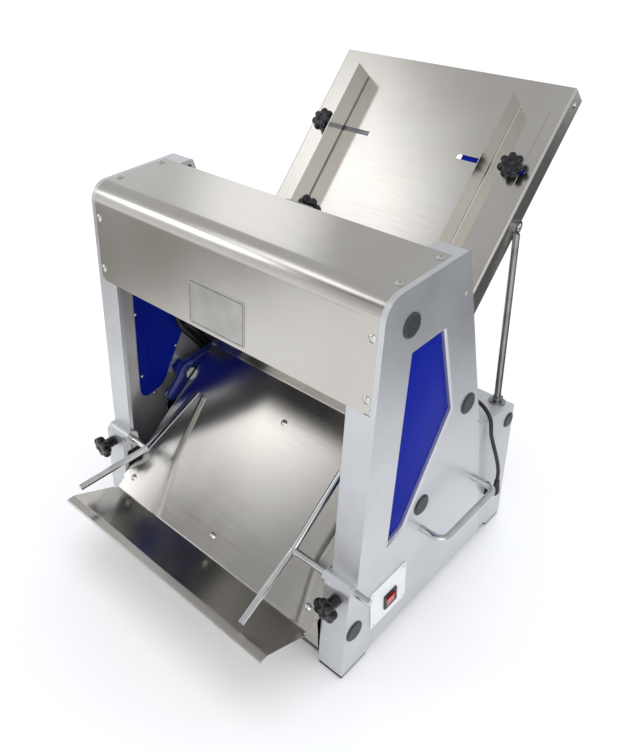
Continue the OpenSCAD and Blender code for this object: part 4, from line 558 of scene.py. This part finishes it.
# Edge rounds in mm by material slot
EDGE_ROUND = {"casting": 1.2, "blue_panel": 0.6, "stainless": 0.35, "housing": 0.4, "switch_plate": 0.5,
              "switch_bezel": 0.5, "red_rocker": 0.6, "foot_rubber": 0.8, "rocker_paint": 0.8,
              "machined_steel": 0.4, "blade_frame": 0.5, "frame_steel": 0.4, "terminal_box": 1.2,
              "cord_fitting": 0.5, "hole_plug": 0.3, "motor_paint": 0.8}
slot_of = {part["node"]: part["material_slot"] for part in frame["record"]["subparts"]}
for name, obj in nodes.items():
    slot = slot_of[name]
    if not obj.material_slots:
        obj.data.materials.append(None)
    for holder in obj.material_slots:
        holder.material = FINISH[slot]
    obj.modifiers.new("curved walls", "NODES").node_group = merge
    if slot in EDGE_ROUND:
        flat = obj.modifiers.new("flat faces", "DECIMATE")
        flat.decimate_type, flat.angle_limit = "DISSOLVE", FLAT
        edge = obj.modifiers.new("edge round", "BEVEL")
        edge.width, edge.segments = EDGE_ROUND[slot] * MM, 2
        edge.limit_method, edge.angle_limit = "ANGLE", SHARP_EDGE
        even = obj.modifiers.new("even light", "WEIGHTED_NORMAL")
        even.keep_sharp = True


# Camera of the photograph: place, yaw, pitch and roll in the bench frame, image 620 x 752
CAMERA_AT = (779.8, -525.2, 1125.7)
YAW, PITCH, ROLL = np.radians(44.1), np.radians(36.0), np.radians(-2.7)
FOCAL_PX, LONG_SIDE, SENSOR = 754.3, 752, 36
look = np.array([-np.sin(YAW) * np.cos(PITCH), np.cos(YAW) * np.cos(PITCH), -np.sin(PITCH)])
right = np.array([np.cos(YAW), np.sin(YAW), 0])
up = np.cross(right, look)
pose = np.eye(4)
pose[:3, 0] = np.cos(ROLL) * right + np.sin(ROLL) * up
pose[:3, 1] = np.cos(ROLL) * up - np.sin(ROLL) * right
pose[:3, 2] = -look
pose[:3, 3] = home(CAMERA_AT)
camera = bpy.data.objects.new("camera", bpy.data.cameras.new("camera"))
bpy.context.scene.collection.objects.link(camera)
camera.matrix_world = Matrix(pose.tolist())
camera.data.sensor_width = SENSOR
camera.data.lens = SENSOR * FOCAL_PX / LONG_SIDE
bpy.context.scene.camera = camera
bpy.context.scene.view_settings.view_transform = "Standard"

# Studio: a white floor, a dome with soft boxes, one broad light, and two grey flags that only metal sees
FLOOR_REACH, FLOOR_LIFT = 14.0, 0.07


def sheet_on_floor(name, corners, material):
    """Flat four-cornered sheet through the corners, one of the studio's objects."""
    mesh = bpy.data.meshes.new(name)
    mesh.from_pydata(np.asarray(corners, float).tolist(), [], [[0, 1, 2, 3]])
    mesh.materials.append(material)
    obj = bpy.data.objects.new(name, mesh)
    bpy.context.scene.collection.objects.link(obj)
    return obj


# White paper floor: what the camera and mirrors see of it is lifted a little, so that it is white and
# keeps its shadows
paper = finish("matt white paper", "#f9fafb", "#fcfcfd", patch=900, rough=(0.8, 0.9), grain=6.0, depth=0.0,
               Emission_Color=lin("#ffffff"))
tree = paper.node_tree
path = add(tree, "ShaderNodeLightPath").outputs
seen = add(tree, "ShaderNodeMath", {0: path["Is Camera Ray"], 1: path["Is Glossy Ray"]}, operation="ADD")
seen = add(tree, "ShaderNodeMath", {0: seen.outputs[0], 1: path["Is Transmission Ray"]}, operation="ADD",
           use_clamp=True)
lift = add(tree, "ShaderNodeMath", {0: seen.outputs[0], 1: FLOOR_LIFT}, operation="MULTIPLY")
skin = next(n for n in tree.nodes if n.type == "BSDF_PRINCIPLED")
tree.links.new(lift.outputs[0], skin.inputs["Emission Strength"])
sheet_on_floor("floor", FLOOR_REACH * np.array([[-1, -1, 0], [1, -1, 0], [1, 1, 0], [-1, 1, 0]]), paper)

FLAG_LIFT = 0.004


def flag(name, code, heading, start, full, reach, half, aside):
    """Grey cloth just over the floor for mirrors alone: it begins start m from the middle along heading
    degrees, thickens to full strength at full m, ends at reach m, and is 2 half m wide, aside m off the
    heading line."""
    a = np.radians(heading)
    run, across = np.array([np.cos(a), np.sin(a), 0]), np.array([-np.sin(a), np.cos(a), 0])
    mat = bpy.data.materials.new(name)
    mat.use_nodes = True
    tree = mat.node_tree
    tree.nodes.clear()
    place = add(tree, "ShaderNodeTexCoord").outputs["Object"]
    out = add(tree, "ShaderNodeVectorMath", {0: place, 1: run.tolist()}, operation="DOT_PRODUCT")
    cover = add(tree, "ShaderNodeMapRange",
                {"Value": out.outputs["Value"], "From Min": start, "From Max": full},
                interpolation_type="SMOOTHSTEP")
    cloth = add(tree, "ShaderNodeBsdfDiffuse", {"Color": lin(code)})
    clear = add(tree, "ShaderNodeBsdfTransparent")
    mix = add(tree, "ShaderNodeMixShader",
              {0: cover.outputs["Result"], 1: clear.outputs[0], 2: cloth.outputs[0]})
    add(tree, "ShaderNodeOutputMaterial", {"Surface": mix.outputs[0]})
    corners = [run * d + across * (aside + w) + FLAG_LIFT * Z_AXIS
               for d, w in ((start, -half), (reach, -half), (reach, half), (start, half))]
    obj = sheet_on_floor(name, corners, mat)
    obj.visible_camera = obj.visible_diffuse = obj.visible_shadow = obj.visible_transmission = False


flag("grey flag at the front left", "#989692", heading=180, start=0.8, full=1.5, reach=3.6, half=1.2, aside=1.35)
flag("grey flag at the back right", "#5a5c5f", heading=38, start=0.5, full=1.1, reach=3.0, half=1.5, aside=0.2)

# The dome is brighter by HORIZON below the sine LOW_SKY and plain above the sine HIGH_SKY
DOME, HORIZON, LOW_SKY, HIGH_SKY = 0.6, 0.3, 0.08, 0.4
# Soft boxes: azimuth and elevation in degrees, inner and outer radius in degrees, and strength
SOFT_BOXES = (
    (138, 24, 2, 7, 1.1), (150, 20, 2, 9, 0.2), (-157, 45, 3, 8, 0.7), (-149, 43, 3, 8, 0.75),
    (-145, 46, 3, 7, 0.8), (-141, 46, 2, 6, 0.7), (-145, 27, 4, 9, 3.0), (-150, 23, 3, 8, 0.4),
    (-135, 39, 4, 9, -0.45), (-47, 30, 10, 36, 1.1))
world = bpy.data.worlds.new("studio")
bpy.context.scene.world = world
world.use_nodes = True
sky = world.node_tree
sky.nodes.clear()
toward = add(sky, "ShaderNodeTexCoord").outputs["Generated"]
height = add(sky, "ShaderNodeSeparateXYZ", {0: toward}).outputs["Z"]
level = add(sky, "ShaderNodeMapRange",
            {"Value": height, "From Min": LOW_SKY, "From Max": HIGH_SKY, "To Min": DOME + HORIZON,
             "To Max": DOME}, interpolation_type="SMOOTHSTEP").outputs["Result"]
for azimuth, elevation, inner, outer, strength in SOFT_BOXES:
    a, e = np.radians(azimuth), np.radians(elevation)
    centre = [float(np.cos(a) * np.cos(e)), float(np.sin(a) * np.cos(e)), float(np.sin(e))]
    near = add(sky, "ShaderNodeVectorMath", {0: toward, 1: centre}, operation="DOT_PRODUCT")
    rim, core = (float(np.cos(np.radians(r))) for r in (outer, inner))
    glow = add(sky, "ShaderNodeMapRange",
               {"Value": near.outputs["Value"], "From Min": rim, "From Max": core, "To Min": 0.0,
                "To Max": strength}, interpolation_type="SMOOTHSTEP")
    level = add(sky, "ShaderNodeMath", {0: level, 1: glow.outputs["Result"]}, operation="ADD").outputs[0]
dome = add(sky, "ShaderNodeBackground", {"Color": lin("#fbfcff"), "Strength": level})
add(sky, "ShaderNodeOutputWorld", {"Surface": dome.outputs[0]})

LAMP_ENERGY, LAMP_SPREAD, LAMP_TURN = 1.1, np.radians(60), np.radians([-20, 3, 0])
lamp = bpy.data.objects.new("broad overhead light", bpy.data.lights.new("broad overhead light", "SUN"))
lamp.data.energy, lamp.data.angle = LAMP_ENERGY, LAMP_SPREAD
lamp.rotation_euler = LAMP_TURN
lamp.visible_glossy = False
bpy.context.scene.collection.objects.link(lamp)
